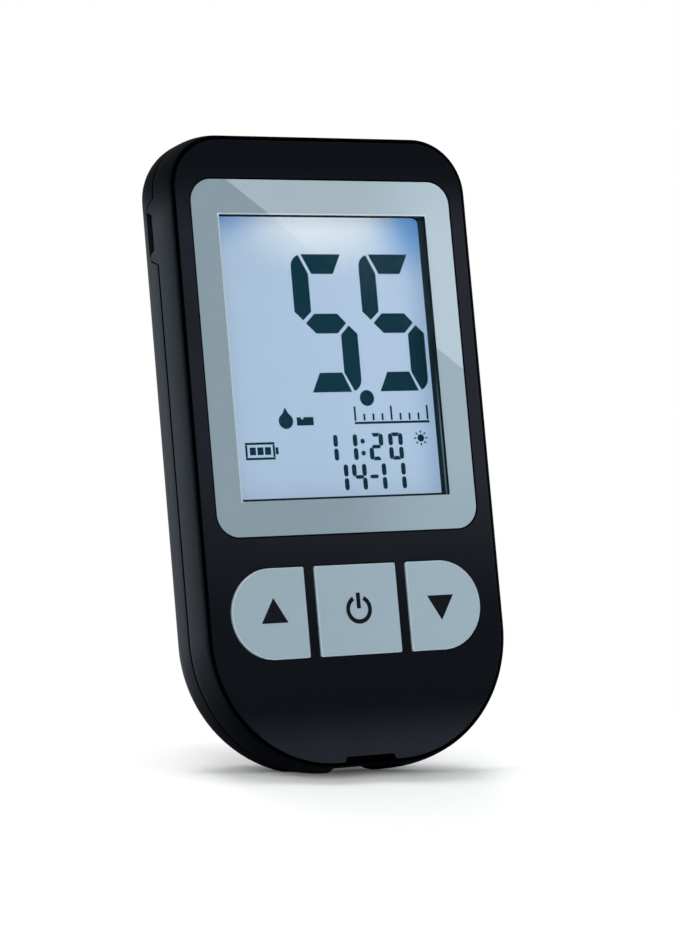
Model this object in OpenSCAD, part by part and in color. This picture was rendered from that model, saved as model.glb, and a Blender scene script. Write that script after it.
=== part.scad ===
// Hand-held blood glucose meter. It is modelled lying on its back, face up, and stood on its
// base at the end. Depths are measured from the face towards the back.

/* [Case] */
// Widest size across the sides, at the seam between the two shells
case_w = 49; // [47:0.5:56]
// Height from the base to the top
case_h = 92; // [91:0.5:104]
// Radius of the two top corners
top_corner_r = 8.55; // [8.45:0.05:12]
// Radius of the two large bottom corners
bottom_corner_r = 19.4; // [17:0.1:21]
// Radius of the long rounding between the sides and the flat back
back_edge_r = 7.7; // [6:0.1:8.4]
// Wall of both shells
wall = 1.6; // [1.4:0.1:1.8]
// Depth of the seam between the shells
seam_depth = 5.1; // [4.9:0.1:5.4]
// Open shadow line left at the seam
seam_gap = 0.2; // [0.1:0.05:0.3]
// How far the side leans in between the seam and the face
side_lean = 0.55; // [0.3:0.05:0.6]
// Height of the locating lip that laps the seam inside
lap_h = 1; // [0.6:0.1:1.1]
// Clearance between parts that are laid into each other
fit_gap = 0.1; // [0.05:0.01:0.15]

/* [Face plate] */
// Distance from the widest outline to the edge of the face plate
face_inset = 1.15; // [1.1:0.05:1.3]
// Thickness of the face plate
face_t = 1.8; // [1.6:0.1:2]
// Width of the dark groove around the face plate
face_groove = 0.35; // [0.25:0.05:0.4]
// How far the face plate stands above the rim of the front shell
face_proud = 0.4; // [0.2:0.1:0.6]
// Floor of the front shell, under the face plate
floor_t = 1; // [0.8:0.1:1.2]

/* [Display window] */
// Distance from the side of the case to the side of the window
window_side = 3.5; // [3.2:0.05:5]
// Distance from the key row up to the window
window_above_keys = 4.55; // [3.5:0.05:6]
// Corner radius of the window
window_r = 3.4; // [2:0.1:5]
// Thickness of the window
window_t = 0.8; // [0.6:0.1:0.9]
// Distance from the top of the case to the top of the window
window_margin = 6.95; // [6.5:0.05:8]
// How far the window lies below the face
window_sink = 0.1; // [0.05:0.05:0.2]
// Gap around the window
window_gap = 0.15; // [0.1:0.05:0.25]
// Thickness of the adhesive frame under the window
adhesive_t = 0.2; // [0.1:0.05:0.2]
// Width of the adhesive frame
adhesive_w = 2.5; // [1.5:0.1:3]
// Width of the window's border at the sides of the opening that shows the display
border_side = 4; // [3.6:0.1:6]
// Height of the window's border above and below that opening
border_end = 4.85; // [4.4:0.05:6]
// Corner radius of the opening
view_r = 0.8; // [0.4:0.1:2]

/* [Keys] */
// Height of the middle of the key row above the base
key_row_z = 22.75; // [22:0.05:24]
// Height of every key
key_h = 12.9; // [11:0.1:13.4]
// Width of the power key
power_key_w = 13; // [11:0.1:13.2]
// Distance from the side of the case to the up key and to the down key
key_side = 4.49; // [4.3:0.01:6]
// Space between neighbouring keys
key_space = 1.76; // [1.7:0.01:2.2]
// Radius of the keys' square corners
key_corner_r = 0.6; // [0.4:0.1:1.5]
// Gap around a key in the face plate
key_gap = 0.15; // [0.1:0.05:0.25]
// How far a key stands above the face
key_proud = 0.3; // [0.2:0.05:0.8]
// Travel of a key
key_travel = 0.5; // [0.3:0.05:0.5]
// Width of the flange that keeps a key in
key_flange = 0.6; // [0.4:0.05:0.65]
// Thickness of that flange
key_flange_t = 0.8; // [0.6:0.1:0.9]
// Diameter of the silicone boss under a key
boss_d = 8; // [6:0.5:8.5]
// Thickness of the keypad mat's sheet
mat_t = 0.8; // [0.6:0.1:1]
// Width of the border of the keypad mat beyond the keys
mat_border = 1.2; // [1:0.1:1.4]

/* [Display] */
// Width of the panel's edge that lies hidden around the opening
lcd_edge = 1.2; // [0.8:0.1:1.3]
// Thickness of each of its two glass plates
lcd_glass_t = 1; // [0.7:0.05:1.05]
// Height of the bare ledge at the lower edge of its front glass
lcd_ledge = 2.8; // [2.6:0.1:3.2]
// Thickness of the dust seal in front of the panel
seal_t = 0.3; // [0.2:0.05:0.3]
// Wall of the frame that holds the panel
frame_wall = 0.6; // [0.5:0.05:0.65]
// Thickness of the backlight plate
light_t = 1.4; // [1.1:0.1:1.6]
// Thickness of the shelf that carries the backlight plate
frame_shelf_t = 0.7; // [0.6:0.1:1]

/* [Circuit board] */
// Thickness of the board
board_t = 1; // [0.8:0.1:1]
// Space between the board's edge and the shells
board_gap = 0.6; // [0.5:0.1:0.8]
// Side of the processor
chip_w = 9; // [7:0.5:9]
// Diameter of the sounder
buzzer_d = 8; // [7:0.5:8]
// Distance of the sounder from the middle
buzzer_x = 12.3; // [12.2:0.1:13.5]
// Height of the sounder
buzzer_h = 3; // [2:0.1:3.2]
// Length of the clock crystal
crystal_l = 6; // [5:0.5:8]

/* [Batteries] */
// Diameter of a coin cell
cell_d = 20; // [19:0.5:20.5]
// Thickness of a coin cell
cell_t = 3.2; // [2.5:0.1:3.2]
// Space between the two cells
cell_apart = 1; // [0.8:0.1:2]
// Height of the lower end of the battery cover above the base
pocket_low = 19.4; // [19:0.1:22]
// Space around the cells in their tray
cell_room = 0.6; // [0.6:0.05:0.8]
// Width of the ledge that the cover lies on
cover_ledge = 2; // [1.6:0.1:2]
// Thickness of the battery cover
cover_t = 1.45; // [1.2:0.05:1.45]
// Gap around the battery cover
cover_gap = 0.1; // [0.08:0.01:0.15]
// Angle that the battery cover swings open
cover_open = 50; // [30:1:60]

/* [Test strip port] */
// Width of the slot for a test strip
strip_slot_w = 7.6; // [7:0.1:8]
// Height of that slot
strip_slot_t = 1.4; // [1.2:0.1:1.5]
// How far the middle of the slot lies in front of the board
strip_lift = 1.8; // [1.7:0.05:1.9]
// Depth of the scoop cut in the base around the slot
scoop_h = 1; // [0.6:0.1:1.1]

/* [Data port] */
// Distance from the top of the case down to the data port's middle
port_top = 13.6; // [13.4:0.1:18]
// How far the middle of the data port lies in front of the board
port_lift = 0.55; // [0.5:0.01:0.6]
// Length of the port's opening
port_l = 6.5; // [6:0.1:7]
// Width of the port's opening
port_w = 1.8; // [1.6:0.1:2]

/* [Screws] */
// Diameter of a screw's shank
screw_d = 1.95; // [1.7:0.05:2]
// Diameter of a screw's head
screw_head_d = 3.8; // [3.2:0.1:3.8]
// Length of a screw's shank
screw_l = 8; // [7:0.5:8.5]
// Height of the seat under a screw's head above the flat back
screw_sink = 2.5; // [2.4:0.1:2.6]
// Distance of the upper screws from the side of the case
screw_top_side = 10; // [9.5:0.1:11.5]
// Distance of the upper screws below the top of the case
screw_top_margin = 6.4; // [6.2:0.1:6.4]
// Distance of the lower screws from the middle
screw_low_x = 9.5; // [9.2:0.1:9.8]
// Height of the lower screws above the base
screw_low_z = 8; // [7.8:0.1:8.1]

/* [Hidden] */
$fn = 96;
SKIN = "#202328";
FACE = "#1b1d21";
BORDER = "#8fa2ae";
KEY = "#98abb6";

// Thin sheet parts
pad_t = 0.05;
contact_t = 0.25;

// The window and the display share one centre. Their sizes follow from the case and the keys.
key_row_top = key_row_z + key_h / 2;
window_w = case_w - 2 * window_side;
window_h = case_h - window_margin - key_row_top - window_above_keys;
view_w = window_w - 2 * border_side;
view_h = window_h - 2 * border_end;
window_cz = case_h - window_margin - window_h / 2;
lcd_w = view_w + 2 * lcd_edge;
lcd_h = view_h + 2 * lcd_edge;
lcd_low = window_cz - lcd_h / 2;
light_side = 0.3;
light_low = 0.4;
light_high = 2.2;
led_w = 3;
led_h = 1.2;
led_pitch = 8;
rest_side = 4;
rest_end = 6;
seal_edge = 0.2;

// Depths of the layers, from the face to the back. The thickness of the case is their sum.
cavity_depth = face_t + floor_t;
adhesive_depth = window_sink + window_t;
ledge_depth = adhesive_depth + adhesive_t;
seal_depth = cavity_depth;
lcd_depth = seal_depth + seal_t;
light_depth = lcd_depth + 2 * lcd_glass_t + fit_gap;
shelf_depth = light_depth + light_t + fit_gap;
board_depth = shelf_depth + frame_shelf_t;
board_back = board_depth + board_t;
tray_gap = 0.4;
tray_floor_t = 0.8;
cell_slack = 0.25;
tray_floor_depth = board_back + tray_gap + tray_floor_t;
cell_depth = tray_floor_depth + contact_t + pad_t;
cover_depth = cell_depth + cell_t + cell_slack;
case_t = cover_depth + cover_t;
back_inner = case_t - wall;

// Outline of the case: the centres of the corner arcs
half_w = case_w / 2;
top_cx = half_w - top_corner_r;
top_cz = case_h - top_corner_r;
low_cx = half_w - bottom_corner_r;
low_cz = bottom_corner_r;
lean_r = (pow(seam_depth - face_proud, 2) + pow(side_lean, 2)) / (2 * side_lean);
beyond = case_w + case_h;

// The keys
key_row_w = case_w - 2 * key_side;
side_key_w = (key_row_w - power_key_w) / 2 - key_space;
side_key_x = (key_row_w - side_key_w) / 2;
flange_depth = cavity_depth + fit_gap;
flange_back = flange_depth + key_flange_t;
mat_depth = flange_back + key_travel + 2 * fit_gap;
mat_back = board_depth - pad_t;
mat_rim = 1;
mat_square = 0.5;
boss_end = mat_back - key_travel - fit_gap;

// The battery compartment, open at the back
tray_half = cell_d / 2 + cell_room;
cell_pitch = cell_d + cell_apart;
tray_low = pocket_low + cover_ledge;
tray_high = tray_low + 2 * tray_half + cell_pitch;
cell_low_z = tray_low + tray_half;
pocket_half = tray_half + cover_ledge;
pocket_high = tray_high + cover_ledge;
pocket_r = 1.5;
tray_wall = 0.8;
pad_w = 9;
pad_h = 5;
tail_w = 1.6;
tail_t = 0.6;
leaf_t = 0.3;
leaf_w = 3;
leaf_x = tray_half - leaf_t;
cell_edge = 0.75;
cell_cap_t = 0.6;
cell_shoulder = 1.5;
tab_l = 1.2;
tab_x = 7;
tab_w = 4;
tab_t = 0.9;
tab_depth = back_inner - fit_gap - tab_t;
tab_room = norm([tab_l, case_t - tab_depth]) - (case_t - tab_depth) + fit_gap;
finger_w = 8;
finger_l = 5;
slit_w = 0.5;
finger_pit_w = 10;
finger_pit_h = 2.5;
finger_pit_t = 0.9;
grip_w = 9;
grip_t = 0.35;
grip_pitch = 1.6;

// The data port and the tongue of the front shell around it
port_z = case_h - port_top;
port_depth = board_depth - port_lift;
port_shell_l = 7.5;
port_shell_t = 2.5;
port_floor = 1;
port_foot_l = 1.4;
port_foot_t = 0.2;
port_reach = port_depth + port_shell_t / 2 - (case_t - back_edge_r);
port_in = back_edge_r - sqrt(pow(back_edge_r - wall, 2) - pow(max(port_reach, 0), 2)) + fit_gap;
port_shell_in = half_w - port_in - lcd_w / 2 - frame_wall - 2 * fit_gap;
port_cut_half = port_shell_l / 2 + 2 * fit_gap;
tongue_depth = port_depth + 0.45;
tongue_half = 3.8;
tongue_flare = 0.95;

// The test strip port
strip_depth = board_depth - strip_lift;
strip_block_half = 6.5;
strip_block_h = 3;
strip_body_w = 10.4;
strip_body_l = 8.5;
strip_body_z = strip_block_h + fit_gap;
strip_track_t = 0.8;
strip_lid_t = 0.6;
strip_lid = strip_depth - strip_slot_t / 2 - strip_lid_t;
strip_lead = 1.5;
strip_frame = 2;
leaf_pitch = 1.3;
leaf_gap = 0.6;
scoop_floor_w = strip_slot_w - 0.4;
scoop_flare = 0.6;
notch_h = 0.85;
notch_slope = 0.8;

// The screws
screw_seat = case_t - screw_sink;
screw_head_t = 1.4;
screw_boss_d = 4.8;
screw_tube_d = 5.6;
thread_gap = 0.06;
drive_w = 2.2;
drive_t = 0.5;
drive_depth = 0.6;
screw_top_x = half_w - screw_top_side;
screws = [
    [-screw_top_x, case_h - screw_top_margin],
    [screw_top_x, case_h - screw_top_margin],
    [-screw_low_x, screw_low_z],
    [screw_low_x, screw_low_z]
];

// The circuit board, and the parts on its back above and below the batteries
board_top = case_h - screw_top_margin - screw_boss_d / 2 - board_gap;
below_tray = pocket_low - tray_wall - 2 * fit_gap;
chip_t = 1.2;
memory_w = 5;
memory_h = 4;
memory_x = 1.5;
memory_t = 1;
crystal_w = 2.2;
crystal_t = 1.6;
top_row_z = board_top - 3.5;
capacitor_l = 2;
capacitor_w = 1.2;
capacitor_t = 1;
capacitor_pitch = 2.4;
capacitor_side = 7.5;
buzzer_hole_d = 2;
buzzer_hole_t = 1;

// ---- Placing ----

// Height of a depth while the meter lies on its back
function level(depth) = case_t / 2 - depth;

// Stands the lying meter on its base, with its face towards -Y. The keys stand above the face,
// so the middle of the whole thickness lies a little in front of the middle of the case.
module upright() {
    translate([0, key_proud / 2, 0]) rotate([90, 0, 0]) children();
}

// A flat layer from one depth, of one thickness
module layer(depth, thickness) {
    translate([0, 0, level(depth + thickness)]) linear_extrude(thickness) children();
}

// A block centred across the meter at x, z, lying at a depth
module block(x, z, depth, w, h, thickness) {
    translate([x, z]) layer(depth, thickness) square([w, h], center = true);
}

// A round post or hole at x, z between two depths
module post(x, z, from, to, d) {
    translate([x, z, level(to)]) cylinder(h = to - from, d = d);
}

module rounded(w, h, r) {
    square([w - 2 * r, h], center = true);
    square([w, h - 2 * r], center = true);
    for (x = [-1, 1], z = [-1, 1])
        translate([x * (w / 2 - r), z * (h / 2 - r)]) circle(r);
}

// ---- Outline and edge profiles of the case ----

// The outline of the case, drawn in by a distance
module outline(inset) {
    translate([-half_w + inset, low_cz]) square([case_w - 2 * inset, top_cz - low_cz]);
    translate([-top_cx, low_cz]) square([2 * top_cx, case_h - inset - low_cz]);
    translate([-low_cx, inset]) square([2 * low_cx, top_cz - inset]);
    for (side = [-1, 1]) {
        translate([side * top_cx, top_cz]) circle(top_corner_r - inset);
        translate([side * low_cx, low_cz]) circle(bottom_corner_r - inset);
    }
}

// Carries an edge profile round the outline. The profile's X is the distance inwards from the
// outline and its Y is the height above the middle of the case.
module swept() {
    intersection() {
        translate([0, beyond]) rotate([90, 0, 0]) linear_extrude(2 * beyond) intersection() {
            translate([half_w, 0]) mirror([1, 0]) children();
            translate([-half_w, 0]) children();
        }
        translate([0, 0, -case_t]) linear_extrude(2 * case_t)
            polygon([[-case_w, low_cz], [case_w, low_cz], [case_w, top_cz], [-case_w, top_cz]]);
    }
    translate([-top_cx, 0]) rotate([90, 0, 90]) linear_extrude(2 * top_cx)
        intersection() {
            translate([case_h, 0]) mirror([1, 0]) children();
            translate([top_cz, -case_t]) square([case_h, 2 * case_t]);
        }
    translate([-low_cx, 0]) rotate([90, 0, 90]) linear_extrude(2 * low_cx)
        intersection() {
            children();
            translate([0, -case_t]) square([low_cz, 2 * case_t]);
        }
    for (side = [0, 1]) {
        translate([(1 - 2 * side) * top_cx, top_cz]) turned(top_corner_r, side * 90) children();
        translate([(1 - 2 * side) * low_cx, low_cz]) turned(bottom_corner_r, 270 - side * 90) children();
    }
}

// A quarter turn of the swept edge at a corner of one radius
module turned(r, from) {
    rotate([0, 0, from]) rotate_extrude(angle = 90)
        intersection() {
            translate([r, 0]) mirror([1, 0]) children();
            translate([0, -case_t]) square([r, 2 * case_t]);
        }
}

// The outside of the two shells
module outer_profile() {
    difference() {
        translate([0, level(case_t)]) square([beyond, case_t - face_proud]);
        difference() {
            translate([-1, level(case_t) - 1]) square(back_edge_r + 1);
            translate([back_edge_r, level(case_t - back_edge_r)]) circle(back_edge_r);
        }
        difference() {
            translate([-1, level(seam_depth)]) square([side_lean + 2, seam_depth]);
            translate([lean_r, level(seam_depth)]) circle(lean_r);
        }
    }
}

// The hollow of the rear shell
module inner_profile() {
    difference() {
        translate([wall, level(back_inner)]) square([beyond, case_t]);
        difference() {
            translate([-1, level(back_inner) - 1]) square([back_edge_r + 1, back_edge_r - wall + 1]);
            translate([back_edge_r, level(case_t - back_edge_r)]) circle(back_edge_r - wall);
        }
    }
}

// The tongue of the front shell that reaches round the data port, grown by a clearance
module port_tongue(grow) {
    translate([-half_w - 1, port_z, level(seam_depth)]) rotate([0, 90, 0]) linear_extrude(wall + 1 + grow)
        polygon([
            [-seam_gap, -tongue_half - tongue_flare - grow],
            [-seam_gap, tongue_half + tongue_flare + grow],
            [0, tongue_half + tongue_flare + grow],
            [tongue_depth - seam_depth + grow, tongue_half + grow],
            [tongue_depth - seam_depth + grow, -tongue_half - grow],
            [0, -tongue_half - tongue_flare - grow]
        ]);
}

module port_opening() {
    translate([-half_w, port_z, level(port_depth)]) cube([3 * wall, port_l, port_w], center = true);
}

// The shallow scoop in the base, and the slot for the strip in it
module strip_opening() {
    layer(0, case_t - back_edge_r / 2)
        polygon([
            [-scoop_floor_w / 2 - 2 * scoop_flare, -scoop_h],
            [-scoop_floor_w / 2, scoop_h],
            [scoop_floor_w / 2, scoop_h],
            [scoop_floor_w / 2 + 2 * scoop_flare, -scoop_h]
        ]);
    block(0, 0, strip_depth - strip_slot_t / 2, strip_slot_w, 4 * strip_block_h, strip_slot_t);
}

// ---- Keys ----

// The outline of a side key: square towards the middle, round at the outer end.
// side is 1 for the down key and -1 for the up key.
module side_key_shape(side, grow) {
    r = key_h / 2;
    translate([side * side_key_x, key_row_z]) mirror([side < 0 ? 1 : 0, 0]) {
        intersection() {
            translate([side_key_w / 2 - r, 0]) circle(r + grow);
            translate([side_key_w / 2 - r, -key_h]) square([key_h, 2 * key_h]);
        }
        translate([-side_key_w / 2 + key_corner_r, -r - grow])
            square([side_key_w - r - key_corner_r, key_h + 2 * grow]);
        translate([-side_key_w / 2 - grow, -r + key_corner_r])
            square([side_key_w - r, key_h - 2 * key_corner_r]);
        for (end = [-1, 1])
            translate([-side_key_w / 2 + key_corner_r, end * (r - key_corner_r)])
                circle(key_corner_r + grow);
    }
}

module power_key_shape(grow) {
    translate([0, key_row_z])
        rounded(power_key_w + 2 * grow, key_h + 2 * grow, key_corner_r + grow);
}

module key_shapes(grow) {
    side_key_shape(-1, grow);
    power_key_shape(grow);
    side_key_shape(1, grow);
}

// A cap from above the face to its flange, which lies under the floor of the front shell
module side_key(side) {
    layer(-key_proud, key_proud + flange_depth) side_key_shape(side, 0);
    layer(flange_depth, key_flange_t) side_key_shape(side, key_flange);
}

module key_boss(x) {
    post(x, key_row_z, flange_back, boss_end, boss_d);
}

// ---- Casing ----

module face_plate() {
    color(FACE) upright() difference() {
        layer(0, face_t) outline(face_inset);
        translate([0, window_cz]) layer(-1, 1 + ledge_depth)
            rounded(window_w + 2 * window_gap, window_h + 2 * window_gap, window_r + window_gap);
        translate([0, window_cz]) layer(0, 2 * face_t) rounded(view_w, view_h, view_r);
        layer(-1, 2 + face_t) key_shapes(key_gap);
        layer(-1, 2 + face_t)
            polygon([
                [-strip_slot_w / 2 - 2 * notch_slope, face_inset - notch_h],
                [-strip_slot_w / 2, face_inset + notch_h],
                [strip_slot_w / 2, face_inset + notch_h],
                [strip_slot_w / 2 + 2 * notch_slope, face_inset - notch_h]
            ]);
    }
}

module display_window() {
    color(BORDER) upright() translate([0, window_cz])
        layer(window_sink, window_t) rounded(window_w, window_h, window_r);
}

module window_adhesive() {
    color("black") upright() translate([0, window_cz]) layer(adhesive_depth, adhesive_t)
        difference() {
            rounded(window_w, window_h, window_r);
            rounded(window_w - 2 * adhesive_w, window_h - 2 * adhesive_w, view_r);
        }
}

module front_case() {
    color(SKIN) upright() difference() {
        union() {
            difference() {
                intersection() {
                    swept() outer_profile();
                    union() {
                        layer(-1, 1 + seam_depth - seam_gap / 2)
                            translate([-beyond, -beyond]) square(3 * beyond);
                        port_tongue(0);
                    }
                }
                layer(-1, 1 + face_t) outline(face_inset - face_groove);
                layer(cavity_depth, case_t) outline(wall);
            }
            lap_ring();
            strip_guide(cavity_depth - fit_gap, seam_depth - seam_gap / 2);
            for (at = screws)
                post(at[0], at[1], cavity_depth - fit_gap, board_back - 2 * fit_gap, screw_boss_d);
        }
        translate([0, window_cz]) layer(0, 2 * cavity_depth) rounded(view_w, view_h, view_r);
        layer(0, cavity_depth + fit_gap) key_shapes(key_gap + fit_gap);
        for (at = screws)
            post(at[0], at[1], screw_seat - screw_l - 4 * fit_gap, board_back, screw_d + thread_gap);
        port_opening();
        strip_opening();
    }
}

// The lip inside the seam, joined to the wall above it
module lap_ring() {
    layer(seam_depth - 2 * lap_h, 3 * lap_h) difference() {
        outline(wall / 2 + fit_gap);
        outline(wall);
    }
}

// Thicker stretch of the base wall around the strip slot
module strip_guide(from, to) {
    intersection() {
        block(0, strip_block_h / 2, from, 2 * strip_block_half, strip_block_h, to - from);
        layer(from, to - from) outline(wall / 2);
    }
}

module rear_case() {
    color(SKIN) upright() difference() {
        intersection() {
            swept() outer_profile();
            union() {
                difference() {
                    layer(seam_depth + seam_gap / 2, case_t)
                        translate([-beyond, -beyond]) square(3 * beyond);
                    swept() inner_profile();
                }
                strip_guide(seam_depth + seam_gap / 2, board_depth - 2 * fit_gap);
                tray_block();
                for (at = screws)
                    post(at[0], at[1], board_back - fit_gap, case_t - wall / 2, screw_tube_d);
            }
        }
        layer(0, seam_depth + lap_h + fit_gap) outline(wall / 2);
        port_tongue(fit_gap);
        port_opening();
        strip_opening();
        tray_hollow();
        for (at = screws) {
            post(at[0], at[1], 0, case_t, screw_d + 3 * fit_gap);
            post(at[0], at[1], screw_seat, case_t + 1, screw_head_d + 4 * fit_gap);
        }
    }
}

// The solid that the battery compartment is cut from
module tray_block() {
    high = pocket_high + tab_l + 2 * fit_gap + tray_wall;
    low = pocket_low - tray_wall;
    block(0, (low + high) / 2, tray_floor_depth - tray_floor_t, 2 * (pocket_half + tray_wall),
        high - low, case_t - tray_floor_depth + tray_floor_t - wall / 2);
}

module tray_hollow() {
    block(0, (tray_low + tray_high) / 2, tray_floor_depth,
        2 * tray_half, tray_high - tray_low, case_t);
    translate([0, (pocket_low + pocket_high) / 2]) layer(cover_depth, case_t)
        rounded(2 * pocket_half, pocket_high - pocket_low, pocket_r);
    for (side = [-1, 1]) {
        block(side * tab_x, pocket_high - cover_ledge / 2, tab_depth - tab_room,
            tab_w + 4 * fit_gap, cover_ledge, case_t);
        block(side * tab_x, pocket_high, tab_depth - tab_room, tab_w + 4 * fit_gap,
            2 * (tab_l + 2 * fit_gap), back_inner - tab_depth + tab_room);
    }
    for (i = [0, 1]) {
        block(0, cell_low_z + i * cell_pitch, board_back, tail_w + 4 * fit_gap,
            tail_t + 4 * fit_gap, tray_floor_depth);
        block(leaf_x, cell_low_z + i * cell_pitch, board_back, leaf_t + 4 * fit_gap,
            leaf_w + 6 * fit_gap, tray_floor_depth);
    }
    block(0, pocket_low, case_t - finger_pit_t, finger_pit_w, 2 * finger_pit_h, case_t);
}

// ---- Display ----

module display_seal() {
    color("#303236") upright() translate([0, window_cz]) layer(seal_depth, seal_t) difference() {
        square([lcd_w, lcd_h], center = true);
        rounded(view_w + 2 * seal_edge, view_h + 2 * seal_edge, view_r);
    }
}

// Two glass plates; the front one is longer, and its ledge carries the panel's terminals
module lcd_panel() {
    color("#c3d2ea") upright() {
        translate([-lcd_w / 2, lcd_low]) layer(lcd_depth, lcd_glass_t) square([lcd_w, lcd_h]);
        translate([-lcd_w / 2, lcd_low + lcd_ledge]) layer(lcd_depth + lcd_glass_t, lcd_glass_t)
            square([lcd_w, lcd_h - lcd_ledge]);
    }
}

// The frame around the panel, with a shelf behind for the backlight plate
module display_frame() {
    inner_w = lcd_w + 2 * fit_gap;
    inner_h = lcd_h + 2 * fit_gap;
    color("#e6e6e2") upright() translate([0, window_cz]) difference() {
        layer(cavity_depth + 2 * fit_gap, board_depth - cavity_depth - 2 * fit_gap)
            square([inner_w + 2 * frame_wall, inner_h + 2 * frame_wall], center = true);
        layer(0, shelf_depth) square([inner_w, inner_h], center = true);
        layer(0, case_t) square([lcd_w - 2 * rest_side, lcd_h - 2 * rest_end], center = true);
        translate([0, (lcd_ledge - lcd_h) / 2]) layer(0, case_t)
            square([lcd_w - lcd_edge + 2 * fit_gap, lcd_ledge - 2 * fit_gap], center = true);
    }
}

module backlight_plate() {
    low = lcd_low + lcd_ledge + light_low;
    high = lcd_low + lcd_h - light_high;
    color("#f4f6ff") upright()
        block(0, (low + high) / 2, light_depth, lcd_w - 2 * light_side, high - low, light_t);
}

module backlight_leds() {
    color("#fff6d8") upright() for (i = [-1:1])
        block(led_pitch * i, lcd_low + lcd_h - light_high / 2 - fit_gap, shelf_depth - led_h,
            led_w, led_h, led_h);
}

// The elastomer strip that joins the panel's ledge to the board
module display_connector() {
    from = lcd_depth + lcd_glass_t;
    color("#c9b8c6") upright()
        block(0, lcd_low + lcd_ledge / 2, from, lcd_w - 2 * lcd_edge + 4 * fit_gap,
            lcd_ledge - 8 * fit_gap, board_depth - from);
}

// ---- Electronics ----

module main_board() {
    color("#1f6b3c") upright() difference() {
        layer(board_depth, board_t) intersection() {
            outline(wall + board_gap);
            translate([-half_w, strip_body_z]) square([case_w, board_top - strip_body_z]);
        }
        for (at = screws) post(at[0], at[1], 0, case_t, screw_boss_d + board_gap);
        translate([-half_w, port_z - port_cut_half, -case_t])
            cube([port_in + port_shell_in + fit_gap, case_h, 2 * case_t]);
    }
}

module key_contacts() {
    color("gold") upright() for (x = [-side_key_x, 0, side_key_x])
        post(x, key_row_z, board_depth - pad_t, board_depth, boss_d - 2);
}

module processor() {
    color("#26282b") upright()
        block(0, below_tray - 4 * fit_gap - chip_w / 2, board_back, chip_w, chip_w, chip_t);
}

module memory_chip() {
    color("#26282b") upright() block(memory_x, top_row_z, board_back, memory_w, memory_h, memory_t);
}

module clock_crystal() {
    color("silver") upright() translate([memory_x + memory_w + crystal_l / 2, top_row_z])
        layer(board_back, crystal_t) rounded(crystal_l, crystal_w, crystal_w / 2 - fit_gap);
}

// Three beside the data port, and three beside the processor
module board_capacitors() {
    color("#b08d5a") upright() for (i = [0:2]) {
        block(capacitor_side - half_w, board_top - capacitor_l - capacitor_pitch * i, board_back,
            capacitor_l, capacitor_w, capacitor_t);
        block(-chip_w / 2 - capacitor_l - capacitor_pitch * i, below_tray - 2 * capacitor_l, board_back,
            capacitor_w, capacitor_l, capacitor_t);
    }
}

module buzzer() {
    z = below_tray - buzzer_d / 2;
    color("#17181a") upright() difference() {
        post(buzzer_x, z, board_back, board_back + buzzer_h, buzzer_d);
        post(buzzer_x, z, board_back + buzzer_h - buzzer_hole_t, case_t, buzzer_hole_d);
    }
}

module strip_connector() {
    mid = strip_body_z + strip_body_l / 2;
    color("#2b2d31") upright() difference() {
        block(0, mid, strip_lid, strip_body_w, strip_body_l, board_depth - strip_lid);
        block(0, mid - strip_lead, strip_depth - strip_track_t / 2,
            strip_slot_w, strip_body_l, strip_track_t);
        for (i = [-2:2])
            block(leaf_pitch * i, mid, 0, leaf_pitch - leaf_gap, strip_body_l - 2 * strip_frame,
                strip_depth);
    }
}

// Sprung leaves in the connector's windows, reaching down to the strip's track
module strip_contacts() {
    color("gold") upright() for (i = [-2:2])
        block(leaf_pitch * i, strip_body_z + strip_body_l / 2, strip_lid + 2 * fit_gap,
            leaf_pitch - leaf_gap - 2 * fit_gap, strip_body_l - 2 * strip_frame - 2 * fit_gap,
            strip_depth - strip_lid - 4 * fit_gap);
}

// The shell sits in a notch of the board, and a foot at its lower end lies on the board
module data_port() {
    color("silver") upright() translate([port_in - half_w, port_z - port_shell_l / 2]) difference() {
        union() {
            layer(port_depth - port_shell_t / 2, port_shell_t) square([port_shell_in, port_shell_l]);
            translate([port_foot_l, -port_foot_l]) layer(board_depth - port_foot_t, port_foot_t)
                square([port_shell_in - 2 * port_foot_t - port_foot_l, port_foot_l + port_foot_t]);
        }
        translate([-port_floor, (port_shell_l - port_l) / 2]) layer(port_depth - port_w / 2, port_w)
            square([port_shell_in, port_l]);
    }
}

// ---- Keypad ----

module keypad_mat() {
    w = key_row_w + 2 * mat_border;
    h = key_h + 2 * mat_border;
    color("#3a3d42") upright() translate([0, key_row_z]) difference() {
        layer(mat_depth, mat_back - mat_depth) rounded(w, h, h / 2 - mat_square);
        layer(mat_depth + mat_t, case_t)
            rounded(w - 2 * mat_rim, h - 2 * mat_rim, h / 2 - mat_square - mat_rim);
        for (x = [-side_key_x, 0, side_key_x]) post(x, 0, 0, case_t, boss_d + 4 * fit_gap);
    }
}

module up_key() {
    color(KEY) upright() side_key(-1);
}

module power_key() {
    color(KEY) upright() {
        layer(-key_proud, key_proud + flange_depth) power_key_shape(0);
        layer(flange_depth, key_flange_t) power_key_shape(key_flange);
    }
}

module down_key() {
    color(KEY) upright() side_key(1);
}

module up_key_boss() {
    color("#4b4e54") upright() key_boss(-side_key_x);
}

module power_key_boss() {
    color("#4b4e54") upright() key_boss(0);
}

module down_key_boss() {
    color("#4b4e54") upright() key_boss(side_key_x);
}

// ---- Batteries ----

// Each cell is a can with a narrower cap on the side that faces the board
module coin_cells() {
    color("silver") upright() for (i = [0, 1]) {
        z = cell_low_z + i * cell_pitch;
        post(0, z, cell_depth, cell_depth + cell_cap_t, cell_d - 2 * cell_shoulder);
        post(0, z, cell_depth + cell_cap_t, cell_depth + cell_t, cell_d);
    }
}

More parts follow.
